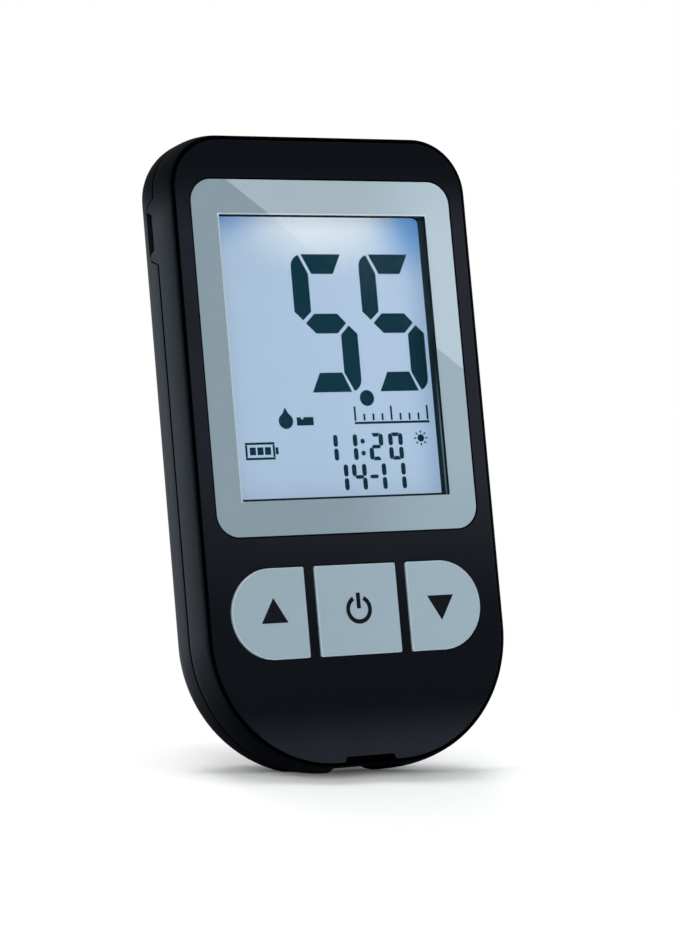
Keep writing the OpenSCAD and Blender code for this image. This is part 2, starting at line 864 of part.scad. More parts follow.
module negative_contacts() {
    color("#c8c8c0") upright() for (i = [0, 1]) {
        z = cell_low_z + i * cell_pitch;
        block(0, z, tray_floor_depth, pad_w, pad_h, contact_t);
        block(0, z, board_back, tail_w, tail_t, tray_floor_depth - board_back);
    }
}

// Upright leaves beside the cells' cans
module positive_contacts() {
    color("#c8c8c0") upright() for (i = [0, 1])
        block(leaf_x, cell_low_z + i * cell_pitch, board_back, leaf_t, leaf_w,
            cell_depth + cell_t - cell_edge - board_back);
}

// The cover turns about its upper outer edge. Two tabs lap under the back wall there, and a
// sprung finger between two slits holds the lower edge.
module battery_cover() {
    w = 2 * (pocket_half - cover_gap);
    low = pocket_low + cover_gap;
    high = pocket_high - cover_gap;
    color(SKIN) upright() difference() {
        union() {
            translate([0, (low + high) / 2]) layer(cover_depth, cover_t)
                rounded(w, high - low, pocket_r - cover_gap);
            for (side = [-1, 1]) {
                block(side * tab_x, high - tab_l / 2, tab_depth, tab_w, tab_l, cover_depth - tab_depth);
                block(side * tab_x, high, tab_depth, tab_w, 2 * tab_l, tab_t);
            }
        }
        for (side = [-1, 1]) block(side * finger_w / 2, low, 0, slit_w, 2 * finger_l, 2 * case_t);
        for (i = [0:3])
            block(0, low + finger_l + 2 + grip_pitch * i, case_t - grip_t,
                grip_w - grip_pitch * i, grip_pitch / 2, case_t);
    }
}

// ---- Fasteners ----

module case_screws() {
    color("#b9bcc0") upright() for (at = screws) difference() {
        union() {
            post(at[0], at[1], screw_seat - screw_l, screw_seat, screw_d);
            post(at[0], at[1], screw_seat, screw_seat + screw_head_t, screw_head_d);
        }
        for (turn = [0, 90]) translate([at[0], at[1], level(screw_seat + screw_head_t)])
            rotate([0, 0, turn]) cube([drive_w, drive_t, 2 * drive_depth], center = true);
    }
}

face_plate();
display_window();
window_adhesive();
front_case();
rear_case();
display_seal();
lcd_panel();
display_frame();
backlight_plate();
backlight_leds();
display_connector();
main_board();
key_contacts();
processor();
memory_chip();
clock_crystal();
board_capacitors();
buzzer();
strip_connector();
strip_contacts();
data_port();
keypad_mat();
up_key();
power_key();
down_key();
up_key_boss();
power_key_boss();
down_key_boss();
coin_cells();
negative_contacts();
positive_contacts();
battery_cover();
case_screws();
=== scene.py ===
from math import cos, hypot, pi, radians, sin, sqrt, tanh

import bmesh
import bpy
from mathutils import Matrix, Vector


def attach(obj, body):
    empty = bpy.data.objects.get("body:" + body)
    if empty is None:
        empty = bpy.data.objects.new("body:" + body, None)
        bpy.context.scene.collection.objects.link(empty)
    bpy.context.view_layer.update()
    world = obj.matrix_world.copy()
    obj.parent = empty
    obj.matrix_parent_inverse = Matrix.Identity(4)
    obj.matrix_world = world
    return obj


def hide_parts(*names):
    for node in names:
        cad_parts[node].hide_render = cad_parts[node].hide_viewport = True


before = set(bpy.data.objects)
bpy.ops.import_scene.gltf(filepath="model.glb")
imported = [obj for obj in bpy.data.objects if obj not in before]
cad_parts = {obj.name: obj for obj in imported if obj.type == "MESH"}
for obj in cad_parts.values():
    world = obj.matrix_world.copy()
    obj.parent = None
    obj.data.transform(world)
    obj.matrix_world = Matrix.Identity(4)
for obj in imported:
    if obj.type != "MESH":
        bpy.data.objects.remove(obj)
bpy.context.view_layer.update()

# ---------------------------------------------------------------- Front case
# The front shell is injection moulded in black plastic with a fine eroded grain. A narrow rim
# runs round it, then a groove, and the face plate is bonded inside. A lip behind the seam
# locates it in the rear shell, and a short tongue reaches round the data port.

mm = 0.001
face_y = -7.25
case_w, case_h, case_t = 49.0, 92.0, 14.8
top_corner_r, bottom_corner_r, side_r = 8.55, 19.4, 7.7
turn_depth = case_t - side_r
wall = 1.6
seam_depth, seam_half, seam_edge = 5.1, 0.15, 0.1
rim_depth, rim_lean, rim_inset, groove_inset = 0.4, 0.55, 0.66, 0.86
face_t, floor_depth = 1.8, 2.8
lean_depths = (4.2, 3.3, 2.4, 1.5, 0.7)
rim_outside = [(0.53, 0.54), (0.575, 0.44), (rim_inset, rim_depth)]
rim_inside = [(0.76, 0.4), (0.82, 0.42), (groove_inset, 0.48), (groove_inset, face_t)]
lip_inset, lip_depth = 0.9, 6.1
window_z, view_w, view_h, view_r = 59.4, 34.0, 41.6, 0.25
key_z, key_h, key_pitch, key_corner_r = 22.75, 12.9, 14.135, 0.25
middle_key_w, side_key_w = 13.0, 11.75
port_z, port_depth, port_h, port_front_h, port_t = 78.4, 6.85, 6.5, 5.1, 1.8
tongue_half, tongue_end_half, tongue_depth = 4.75, 3.8, 7.3
scoop_w, scoop_top_w, scoop_h = 9.6, 7.2, 1.3
funnel_w, funnel_top_w, funnel_end_w = 18, 12.8, 9.4
screws = [(-14.5, 85.6), (14.5, 85.6), (-9.5, 8.0), (9.5, 8.0)]
post_d, post_end, pilot_d, pilot_depth = 4.8, 8.2, 2.01, 3.9
touching = 1e-7


def at_depth(depth):
    """Place along Y of a depth in mm, measured from the face towards the back."""
    return (depth + face_y) * mm


def take(piece):
    """Selects one piece and nothing else."""
    bpy.ops.object.select_all(action="DESELECT")
    bpy.context.view_layer.objects.active = piece
    piece.select_set(True)


def edit(piece):
    """Opens a piece for editing, with nothing of it selected."""
    take(piece)
    bpy.ops.object.mode_set(mode="EDIT")
    bpy.ops.mesh.select_all(action="DESELECT")


def done():
    """Closes the edited piece."""
    bpy.ops.object.mode_set(mode="OBJECT")
    bpy.ops.object.select_all(action="DESELECT")


def pick(kind, test):
    """Selects the faces, edges or verts whose middle and normal, or way along, pass the test."""
    bpy.ops.mesh.select_mode(type={"faces": "FACE", "edges": "EDGE", "verts": "VERT"}[kind])
    mesh = bpy.context.edit_object.data
    shape = bmesh.from_edit_mesh(mesh)
    for part in getattr(shape, kind):
        if kind == "faces":
            chosen = test(part.calc_center_median(), part.normal)
        elif kind == "edges":
            a, b = (v.co for v in part.verts)
            chosen = test((a + b) / 2, b - a)
        else:
            chosen = test(part.co, part.normal)
        part.select_set(bool(chosen))
    shape.select_flush_mode()
    bmesh.update_edit_mesh(mesh)


def faces_front(middle, normal):
    """A test for faces that look to the front."""
    return normal.y < -0.9


def faces_back(middle, normal):
    """A test for faces that look to the back."""
    return normal.y > 0.9


def level_with(depth):
    """A test for faces or edges whose middle lies at a depth."""
    return lambda middle, way: abs(middle.y - at_depth(depth)) < touching


def runs_through(along, t):
    """Whether an edge runs along Y through the whole thickness of a piece."""
    return abs(along.y) > 0.9 * t * mm


def round_off(r, steps, affect="EDGES", clamp=False):
    """Rounds the selected edges or corners."""
    bpy.ops.mesh.bevel(offset=r * mm, segments=steps, affect=affect, clamp_overlap=clamp)


def draw_out(distance):
    """Extrudes the selected faces along Y. A negative distance goes to the front."""
    bpy.ops.mesh.extrude_region_move(TRANSFORM_OT_translate={"value": (0, distance * mm, 0)})


def point_outwards():
    """Points all faces of the edited piece outwards."""
    bpy.ops.mesh.select_all(action="SELECT")
    bpy.ops.mesh.normals_make_consistent(inside=False)


def thicken(piece, distance):
    """Draws a flat sheet into a plate along Y. A negative distance goes to the front."""
    edit(piece)
    bpy.ops.mesh.select_all(action="SELECT")
    draw_out(distance)
    point_outwards()
    done()


def follow(start, points, facing):
    """Insets the selected face along a profile of (inwards, depth) points. facing is -1 to the front."""
    inwards, depth = start
    for next_in, next_depth in points:
        bpy.ops.mesh.inset(thickness=(next_in - inwards) * mm, depth=facing * (next_depth - depth) * mm,
                           use_even_offset=True, use_boundary=True)
        inwards, depth = next_in, next_depth


def shape_end(piece, start, points, facing):
    """Works the flat end of a piece along a profile, in front (-1) or at the back (1)."""
    edit(piece)
    pick("faces", faces_back if facing > 0 else faces_front)
    follow(start, points, facing)
    done()


def squeeze(test, across=1.0, high=1.0, middle_z=0.0):
    """Brings the corners that pass the test closer together, across or in height."""
    pick("verts", test)
    bpy.ops.transform.resize(value=(across, 1, high), center_override=(0, 0, middle_z * mm))


def sheet(name, w, h, x, z, depth, top_r, bottom_r, top_steps=18, bottom_steps=30):
    """An upright flat sheet that faces the front, with rounded top and bottom corners."""
    bpy.ops.object.select_all(action="DESELECT")
    bpy.ops.mesh.primitive_plane_add(size=1, location=(x * mm, at_depth(depth), z * mm),
                                     rotation=(pi / 2, 0, 0))
    piece = bpy.context.object
    piece.name = name
    piece.scale = (w * mm, h * mm, 1)
    bpy.ops.object.transform_apply(location=True, rotation=True, scale=True)
    edit(piece)
    pick("verts", lambda co, no: co.z > z * mm)
    round_off(top_r, top_steps, affect="VERTICES")
    pick("verts", lambda co, no: co.z < (z - h / 2) * mm + touching)
    round_off(bottom_r, bottom_steps, affect="VERTICES")
    done()
    return piece


def arc(centre_in, centre_depth, r, steps):
    """Profile points on a quarter turn from the side of the case to its back."""
    turns = [radians(90 / steps * i) for i in range(1, steps + 1)]
    return [(centre_in - r * cos(turn), centre_depth + r * sin(turn)) for turn in turns]


def case_form(name):
    """The closed outside form of both shells together, up to the rim in front."""
    form = sheet(name, case_w, case_h, 0, case_h / 2, seam_depth, top_corner_r, bottom_corner_r)
    lean_r = ((seam_depth - rim_depth) ** 2 + rim_lean ** 2) / (2 * rim_lean)
    lean = [(lean_r - sqrt(lean_r ** 2 - (seam_depth - d) ** 2), d) for d in lean_depths]
    thicken(form, turn_depth - seam_depth)
    shape_end(form, (0, seam_depth), lean + rim_outside, -1)
    shape_end(form, (0, turn_depth), arc(side_r, turn_depth, side_r, 22), 1)
    return form


def trim(piece, depth, keep):
    """Cuts a closed piece flat at a depth, and keeps its 'front' or its 'back'."""
    edit(piece)
    bpy.ops.mesh.select_all(action="SELECT")
    bpy.ops.mesh.bisect(plane_co=(0, at_depth(depth), 0), plane_no=(0, 1, 0), use_fill=True,
                        threshold=touching, clear_inner=keep == "back", clear_outer=keep == "front")
    point_outwards()
    done()


def carve(piece, tool, operation="DIFFERENCE"):
    """Cuts a tool out of a piece, or joins or crosses them, and removes the tool."""
    bpy.ops.object.select_all(action="DESELECT")
    bpy.context.view_layer.objects.active = piece
    change = piece.modifiers.new("carve", "BOOLEAN")
    change.operation, change.solver, change.object = operation, "EXACT", tool
    bpy.ops.object.modifier_apply(modifier=change.name)
    bpy.data.objects.remove(tool)


def block(x, z, depth, w, h, t, r=0, steps=6):
    """A block by its middle across the case, its front depth and its size, with corners rounded by r."""
    bpy.ops.object.select_all(action="DESELECT")
    bpy.ops.mesh.primitive_cube_add(size=1, location=(x * mm, at_depth(depth + t / 2), z * mm))
    piece = bpy.context.object
    piece.scale = (w * mm, t * mm, h * mm)
    bpy.ops.object.transform_apply(location=True, rotation=True, scale=True)
    if r:
        edit(piece)
        pick("edges", lambda co, along: runs_through(along, t))
        round_off(r, steps)
        done()
    return piece


def post(x, z, from_depth, to_depth, d, steps=40):
    """A round post along Y."""
    bpy.ops.object.select_all(action="DESELECT")
    bpy.ops.mesh.primitive_cylinder_add(vertices=steps, radius=d / 2 * mm, rotation=(pi / 2, 0, 0),
                                        depth=(to_depth - from_depth) * mm,
                                        location=(x * mm, at_depth((from_depth + to_depth) / 2), z * mm))
    bpy.ops.object.transform_apply(location=True, rotation=True, scale=True)
    return bpy.context.object


def smooth(piece, angle=32):
    """Shades a piece smooth over edges below an angle, but keeps what faces front or back flat."""
    take(piece)
    bpy.ops.object.shade_smooth_by_angle(angle=radians(angle))
    bpy.ops.object.select_all(action="DESELECT")
    for face in piece.data.polygons:
        if abs(face.normal.y) > 0.9999:
            face.use_smooth = False


def key_tool(side, grow, from_depth, to_depth):
    """The shape of a key, grown by a gap: side -1 for up, 0 for power, 1 for down."""
    w = (side_key_w if side else middle_key_w) + 2 * grow
    t = to_depth - from_depth
    tool = block(side * key_pitch, key_z, from_depth, w, key_h + 2 * grow, t)
    edit(tool)
    round_end_r = key_h / 2 + grow - 0.05
    inner_x = (key_pitch - 5) * mm
    if side:
        pick("edges", lambda co, along: runs_through(along, t) and side * co.x > key_pitch * mm)
        round_off(round_end_r, 20)
    pick("edges", lambda co, along: runs_through(along, t) and (side == 0 or side * co.x < inner_x))
    round_off(key_corner_r + grow, 5)
    done()
    return tool


def port_wedge(grow):
    """The place of the tongue in front of the data port, narrower towards the back."""
    start, end = 4, 8
    middle = at_depth((start + end) / 2)
    narrowing = (tongue_end_half + grow) / (tongue_half + grow)
    tool = block(-case_w / 2, port_z, start, 2 * (wall + grow), 2 * (tongue_half + grow), end - start)
    edit(tool)
    squeeze(lambda co, no: co.y > middle, high=narrowing, middle_z=port_z)
    bpy.ops.transform.translate(value=(0, at_depth(tongue_depth + grow) - at_depth(end), 0))
    pick("verts", lambda co, no: co.y < middle)
    bpy.ops.transform.translate(value=(0, at_depth(seam_depth) - at_depth(start), 0))
    pick("faces", faces_front)
    draw_out(-0.4)
    done()
    return tool


def port_slot():
    """The slot over the data port. Its ends slope, so it is shorter towards the front."""
    tool = block(-case_w / 2, port_z, port_depth - port_t / 2, w=6, h=port_h, t=port_t)
    edit(tool)
    squeeze(lambda co, no: co.y < at_depth(port_depth), high=port_front_h / port_h, middle_z=port_z)
    done()
    return tool


def strip_scoop():
    """The shallow scoop in the base that guides a strip: a funnel in front, then straight."""
    tool = block(0, 0, depth=-1, w=scoop_w, h=scoop_h, t=12)
    edit(tool)
    squeeze(lambda co, no: co.z > 0, across=scoop_top_w / scoop_w)
    done()
    funnel = block(0, 0, depth=-1, w=funnel_w, h=scoop_h, t=7)
    edit(funnel)
    squeeze(lambda co, no: co.z > 0, across=funnel_top_w / funnel_w)
    squeeze(lambda co, no: co.y > at_depth(3), across=funnel_end_w / funnel_w)
    pick("verts", lambda co, no: co.z < 0)
    bpy.ops.transform.translate(value=(0, 0, -0.1 * mm))
    done()
    carve(tool, funnel, "UNION")
    return tool


front_case = case_form("front_shell")
front_end = seam_depth - seam_half
trim(front_case, front_end, "front")
edit(front_case)
pick("edges", level_with(front_end))
round_off(seam_edge, 2)
pick("faces", level_with(front_end))
lip = [(lip_inset, front_end), (lip_inset, lip_depth), (wall, lip_depth), (wall, floor_depth)]
follow((seam_edge, front_end), lip, 1)
pick("faces", level_with(rim_depth))
follow((rim_inset, rim_depth), rim_inside, -1)
done()
carve(front_case, block(0, window_z, 0, view_w, view_h, t=4, r=view_r))
for side in (-1, 0, 1):
    carve(front_case, key_tool(side, grow=0.25, from_depth=0, to_depth=3.5))
for x, z in screws:
    carve(front_case, post(x, z, floor_depth - 0.1, post_end, post_d), "UNION")
    carve(front_case, post(x, z, pilot_depth, post_end + 0.8, pilot_d))
tongue = case_form("tongue")
trim(tongue, front_end - 0.1, "back")
trim(tongue, tongue_depth + 0.01, "front")
carve(tongue, port_wedge(0), "INTERSECT")
carve(front_case, tongue, "UNION")
carve(front_case, port_slot())
carve(front_case, strip_scoop())
smooth(front_case)


class Signal:
    """A socket of a material that can be used in sums and products."""

    def __init__(self, socket):
        self.socket = socket

    def maths(self, operation, left, right):
        """A sum, product or other operation on signals and numbers."""
        tree = self.socket.id_data
        node = tree.nodes.new("ShaderNodeMath")
        node.operation = operation
        for term, slot in zip((left, right), node.inputs):
            if isinstance(term, Signal):
                tree.links.new(term.socket, slot)
            else:
                slot.default_value = term
        return Signal(node.outputs[0])

    def __add__(self, other):
        return self.maths("ADD", self, other)

    __radd__ = __add__

    def __sub__(self, other):
        return self.maths("SUBTRACT", self, other)

    def __rsub__(self, other):
        return self.maths("SUBTRACT", other, self)

    def __mul__(self, other):
        return self.maths("MULTIPLY", self, other)

    __rmul__ = __mul__

    def __pow__(self, other):
        return self.maths("POWER", self, other)


class Finish:
    """A material under construction, with constants set on its own shader."""

    def __init__(self, name, **constants):
        self.material = bpy.data.materials.new(name)
        self.material.use_nodes = True
        self.tree = self.material.node_tree
        self.shader = self.tree.nodes["Principled BSDF"]
        for socket, value in constants.items():
            self.shader.inputs[socket.replace("_", " ")].default_value = value

    def node(self, kind, inputs=(), output=0, **settings):
        """Adds a node, sets it up, and gives one of its outputs."""
        node = self.tree.nodes.new("ShaderNode" + kind)
        for name, value in settings.items():
            setattr(node, name, value)
        for slot, value in dict(inputs).items():
            if isinstance(value, Signal):
                self.tree.links.new(value.socket, node.inputs[slot])
            elif isinstance(value, tuple) and node.inputs[slot].type == "RGBA":
                node.inputs[slot].default_value = (*value, 1)
            else:
                node.inputs[slot].default_value = value
        return Signal(node.outputs[output])

    def feed(self, **links):
        """Links signals to sockets of the shader."""
        for socket, signal in links.items():
            self.tree.links.new(signal.socket, self.shader.inputs[socket.replace("_", " ")])

    def place(self):
        """The piece's own coordinates."""
        return self.node("TexCoord", output="Object")

    def axes(self, where):
        """The three coordinates apart."""
        return [self.node("SeparateXYZ", {0: where}, output=i) for i in range(3)]

    def blend(self, share, low, high):
        """Goes from one colour to another as share goes from 0 to 1."""
        return self.node("Mix", {0: share, 6: low, 7: high}, output=2, data_type="RGBA", clamp_factor=True)

    def noise(self, where, size, detail=2.0, rough=0.5):
        """Soft noise with features of a size in mm."""
        return self.node("TexNoise", {"Vector": where, "Scale": 1 / (size * mm), "Detail": detail,
                                      "Roughness": rough})

    def ramp(self, signal, low, high):
        """Goes smoothly from 0 to 1 as the signal goes from low to high."""
        return self.node("MapRange", {0: signal, 1: low, 2: high}, interpolation_type="SMOOTHSTEP")

    def bump(self, height, depth, strength):
        """A relief of a depth in mm."""
        return self.node("Bump", {"Strength": strength, "Distance": depth * mm, "Height": height})


def dress(piece, finish):
    """Gives a whole piece one finish."""
    if not piece.material_slots:
        piece.data.materials.append(finish.material)
    for place in piece.material_slots:
        place.material = finish.material


def moulded_black(name, dark, pale, grain, roughness, depth, painted_sheen=None):
    """Black moulded plastic: a fine grain, faint clouds in its colour, and a few specks of dust.
    Its ends are more matt, and where no painted sheen is given, painted shade darkens them. A painted sheen
    is a paler colour painted as light on its middle, more to the right, and on its foot."""
    finish = Finish(name, Specular_IOR_Level=0.022, Specular_Tint=(0.72, 0.86, 1.0, 1))
    where = finish.place()
    x, y, z = finish.axes(where)
    fine = finish.noise(where, grain, detail=3.0, rough=0.6)
    clouds = finish.noise(where, size=9.0, detail=3.0)
    specks = finish.ramp(finish.noise(where, size=0.35, detail=1.0), 0.78, 0.84)
    tone = finish.blend(clouds * 0.5 + fine * 0.5, dark, pale)
    # The ends are made more matt, and where no painted sheen is given, painted shade darkens them.
    shaded_matt_ends = finish.ramp(z, 79 * mm, 87 * mm) + finish.ramp(z, 18 * mm, 6 * mm)
    if painted_sheen:
        # Painted sheen: paler in the middle, more to the right, and on the foot.
        sheen_mask = finish.ramp(z, 18 * mm, 48 * mm) * finish.ramp(z, 88 * mm, 76 * mm)
        sheen_mask = sheen_mask * (0.66 + 0.34 * finish.ramp(x, -24 * mm, 24 * mm))
        sheen_mask = sheen_mask + finish.ramp(z, 10 * mm, 2 * mm) * 0.9
        tone = finish.blend(sheen_mask * (0.7 + 0.6 * clouds), tone, painted_sheen)
    else:
        tone = finish.blend(shaded_matt_ends, tone, end_shade_black)
    finish.feed(Base_Color=finish.blend(specks * 0.2, tone, dust_grey),
                Roughness=roughness - 0.06 + clouds * 0.08 + fine * 0.06 + shaded_matt_ends * 0.42,
                Normal=finish.bump(fine, depth, strength=0.6))
    return finish


def speckled(name, dark, pale, grain, roughness, spread, detail=3.0, **constants):
    """A finish of one fine noise, which varies its colour and its roughness."""
    finish = Finish(name, **constants)
    fine = finish.noise(finish.place(), grain, detail)
    finish.feed(Base_Color=finish.blend(fine, dark, pale), Roughness=roughness + spread * fine)
    return finish


def line(piece, finish, test):
    """Gives the faces of a piece whose middle, in mm, and normal pass the test their own finish."""
    if finish.material.name not in piece.data.materials:
        piece.data.materials.append(finish.material)
    for face in piece.data.polygons:
        if test(*(face.center / mm), face.normal):
            face.material_index = piece.data.materials.find(finish.material.name)


def in_opening(x, y, z, normal):
    """A wall of the display opening, between the face and the display."""
    inside = abs(x) < view_w / 2 + 0.05 and abs(z - window_z) < view_h / 2 + 0.05
    return inside and abs(normal.y) < 0.5 and y < 0


def in_port(x, y, z, normal):
    """A wall of the data port's slot."""
    beside = x < 2 - case_w / 2 and abs(z - port_z) < port_h / 2 + 0.05
    within = abs(y - at_depth(port_depth) / mm) < port_t / 2 + 0.1
    return beside and within and normal.x > -0.9


def in_notch(x, y, z, normal):
    """The roof of the notch in the base."""
    return abs(x) < scoop_w / 2 + 0.1 and 0.88 < z < 2.3 and y < at_depth(floor_depth) / mm


def outwards(x, z, normal):
    """Whether a face looks away from the middle of the case."""
    return normal.x * x + normal.z * (z - case_h / 2) > 0


def in_groove(x, y, z, normal):
    """The outer wall and the floor of the groove round the face plate."""
    depth = y - face_y
    on_wall = 0.43 < depth < face_t - 0.01 and not outwards(x, z, normal)
    return on_wall or abs(depth - face_t) < 0.01 and normal.y < -0.9


def in_seam(x, y, z, normal):
    """The narrow chamfers on both sides of the seam, and the faces between them."""
    depth = y - face_y
    near = abs(depth - seam_depth) < seam_half + 0.11
    return near and abs(normal.y) > 0.3 and (depth < seam_depth) == (normal.y > 0)


# The black of the painted shade at the ends of the shells
end_shade_black = (0.0008, 0.0012, 0.0020)
dust_grey = (0.05, 0.055, 0.06)
# The front shell's finish, darkened at its ends by painted shade
case_black = moulded_black("case_black", dark=(0.0030, 0.0040, 0.0058), pale=(0.0062, 0.0078, 0.0104),
                           grain=0.22, roughness=0.46, depth=0.03)
# A dull dark teal: on the walls of the display opening it is the display's light, painted; the mask round
# the lit field is printed in it.
spill_and_print_teal = speckled("spill_and_print_teal", dark=(0.006, 0.022, 0.030), pale=(0.010, 0.030, 0.040),
                         grain=0.3, roughness=0.6, spread=0.2, Specular_IOR_Level=0.0)
# A dull black painted as shade in seams, grooves, recesses and slots, where little light falls.
painted_shade_black = speckled("painted_shade_black", dark=(0.0008, 0.0010, 0.0013), pale=(0.0016, 0.0019, 0.0024),
                      grain=0.2, roughness=0.8, spread=0.1, Specular_IOR_Level=0.0)
dress(front_case, case_black)
# The walls of the display opening take the teal painted as the display's light.
line(front_case, spill_and_print_teal, in_opening)
# The port slot, the notch, the groove and the seam take the painted shade.
for shaded_faces in (in_port, in_notch, in_groove, in_seam):
    line(front_case, painted_shade_black, shaded_faces)
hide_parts("front_case")
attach(front_case, "case")

# ---------------------------------------------------------------- Face plate
# A flat plate of satin black plastic, bonded into the front shell a little above its rim. It
# carries the window in a shallow recess and has an opening for each key. The place under the
# keys is left plain.

face_inset, face_edge = 1.15, 0.3
face_rounding = [(0.02, 0.185), (0.088, 0.088), (0.185, 0.02), (face_edge, 0)]
recess_w, recess_h, recess_depth, recess_r = 42.3, 51.6, 1.1, 3.55
notch_w, notch_top_w, notch_h = 9.16, 7.6, 1.7


def soften(piece, width, test, steps=2):
    """Rounds the sharp edges of a piece whose middle passes the test."""
    edit(piece)
    bpy.ops.mesh.select_mode(type="EDGE")
    shape = bmesh.from_edit_mesh(piece.data)
    for edge in shape.edges:
        sharp = len(edge.link_faces) == 2 and edge.calc_face_angle(0) > radians(35)
        edge.select_set(sharp and bool(test((edge.verts[0].co + edge.verts[1].co) / 2 / mm)))
    shape.select_flush_mode()
    bmesh.update_edit_mesh(piece.data)
    round_off(width, steps, clamp=True)
    done()


def in_recess(x, y, z, normal):
    """The walls of the recess round the window."""
    beside = abs(x) < recess_w / 2 + 0.2 and abs(z - window_z) < recess_h / 2 + 0.2
    return beside and normal.y > -0.97 and y < at_depth(1.05) / mm


def on_plate_edge(x, y, z, normal):
    """The outer edge of the face plate, below its rounding."""
    at_rim = abs(x) > 21.4 or not 16 < z < 88
    return at_rim and outwards(x, z, normal) and abs(normal.y) < 0.9 and y > at_depth(0.12) / mm


face_plate = sheet("face_panel", case_w - 2 * face_inset, case_h - 2 * face_inset, 0, case_h / 2, face_t,
                   top_corner_r - face_inset, bottom_corner_r - face_inset)
thicken(face_plate, face_edge - face_t)
shape_end(face_plate, (0, face_edge), face_rounding, -1)
carve(face_plate, block(0, window_z, -1, recess_w, recess_h, 1 + recess_depth, recess_r, 14))
carve(face_plate, block(0, window_z, 0, view_w, view_h, t=4, r=view_r))
for side in (-1, 0, 1):
    carve(face_plate, key_tool(side, grow=0.15, from_depth=-1, to_depth=3))
notch = block(0, face_inset, depth=-1, w=notch_w, h=notch_h, t=4)
edit(notch)
squeeze(lambda co, no: co.z > face_inset * mm, across=notch_top_w / notch_w)
done()
carve(face_plate, notch)
soften(face_plate, 0.08, lambda co: co.y < at_depth(0.03) / mm and 2.2 < co.z < 89 and abs(co.x) < 22)
smooth(face_plate)
# The face plate's finish has a painted sheen: paler in the middle, towards the right and at the foot.
face_black = moulded_black("face_black", dark=(0.0026, 0.0036, 0.0052), pale=(0.0044, 0.0058, 0.0080),
                           grain=0.14, roughness=0.42, depth=0.015, painted_sheen=(0.0170, 0.0195, 0.0250))
# The walls of the display opening in the face plate: dark teal painted as the display's light on them, with
# a painted highlight that grows lower down and towards the front.
wall_highlight_grey = (0.115, 0.198, 0.215)
opening_painted_light = Finish("opening_painted_light", Specular_IOR_Level=0.0)
where = opening_painted_light.place()
x, y, z = opening_painted_light.axes(where)
fine = opening_painted_light.noise(where, size=0.3, detail=3.0)
painted_highlight_mask = opening_painted_light.ramp(z, 60 * mm, 46 * mm) * opening_painted_light.ramp(y, at_depth(1.65), at_depth(1.45))
tone = opening_painted_light.blend(fine, (0.008, 0.022, 0.028), (0.012, 0.028, 0.036))
opening_painted_light.feed(Base_Color=opening_painted_light.blend(painted_highlight_mask, tone, wall_highlight_grey), Roughness=0.6 + 0.2 * fine)
dress(face_plate, face_black)
line(face_plate, opening_painted_light, in_opening)
# The window recess and the outer edge of the plate take the painted shade.
line(face_plate, painted_shade_black, in_recess)
line(face_plate, painted_shade_black, on_plate_edge)
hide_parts("face_plate")
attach(face_plate, "case")

# ---------------------------------------------------------------- Window
# A clear sheet with polished edges, laid into the face plate on a frame of black adhesive. Its border is
# printed grey-blue, under a hard clear coat, and lies flush with the face. Painted reflections lighten the
# print to the right and lower down, and a thin painted highlight lines its inner edge at the left and the
# top.

window_w, window_h, window_depth, window_t, window_r = 42.0, 51.3, 0.9, 0.7, 3.4
print_t, print_inset, print_steps = 0.05, 0.02, 14
window = sheet("window_pane", window_w, window_h, 0, window_z, window_depth, window_r, window_r,
               print_steps, print_steps)
thicken(window, -window_t)
shape_end(window, (0, window_depth - window_t), [(0.03, 0.13), (0.1, 0.1)], -1)
smooth(window)
clear = Finish("window_clear", Base_Color=(0.93, 0.96, 1.0, 1), Metallic=1.0, Alpha=0.0015)
clear.feed(Roughness=0.02 + 0.03 * clear.noise(clear.place(), size=14.0, detail=3.0))
dress(window, clear)
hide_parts("display_window")
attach(window, "case")

border = block(0, window_z, 0.06, window_w - 2 * print_inset, window_h - 2 * print_inset, print_t,
               window_r - print_inset, print_steps)
carve(border, block(0, window_z - 0.05, -1, view_w - 0.4, view_h - 0.4, t=4, r=view_r - 0.1))
border.name = "window_print"
smooth(border)
border_tones = (0.184, 0.252, 0.294), (0.204, 0.280, 0.326)
reflection_gradient_tone = (0.262, 0.352, 0.412)
right_reflection_tone = (0.292, 0.384, 0.446)
inner_edge_highlight_tone = (0.62, 0.68, 0.70)
border_grain_tone = (0.27, 0.35, 0.40)
print_and_reflections = Finish("border_print_and_reflections", Coat_Roughness=0.0, Coat_Weight=1.0, Specular_IOR_Level=0.0)
where = print_and_reflections.place()
x, y, z = print_and_reflections.axes(where)
mottle = print_and_reflections.noise(where, size=3.0, detail=4.0)
grain = print_and_reflections.noise(where, size=0.2, detail=2.0)
tone = print_and_reflections.blend(mottle, *border_tones)
# Painted reflection: the print is lighter to the right and lower down.
tone = print_and_reflections.blend(print_and_reflections.ramp(x - 0.15 * z, -8 * mm, 8 * mm), tone, reflection_gradient_tone)
# A painted reflection down the right side.
right_reflection = print_and_reflections.ramp(x, 13 * mm, 19 * mm) * print_and_reflections.ramp(z, 84 * mm, 77 * mm)
right_reflection *= print_and_reflections.ramp(z, 34 * mm, 45 * mm)
tone = print_and_reflections.blend(right_reflection, tone, right_reflection_tone)
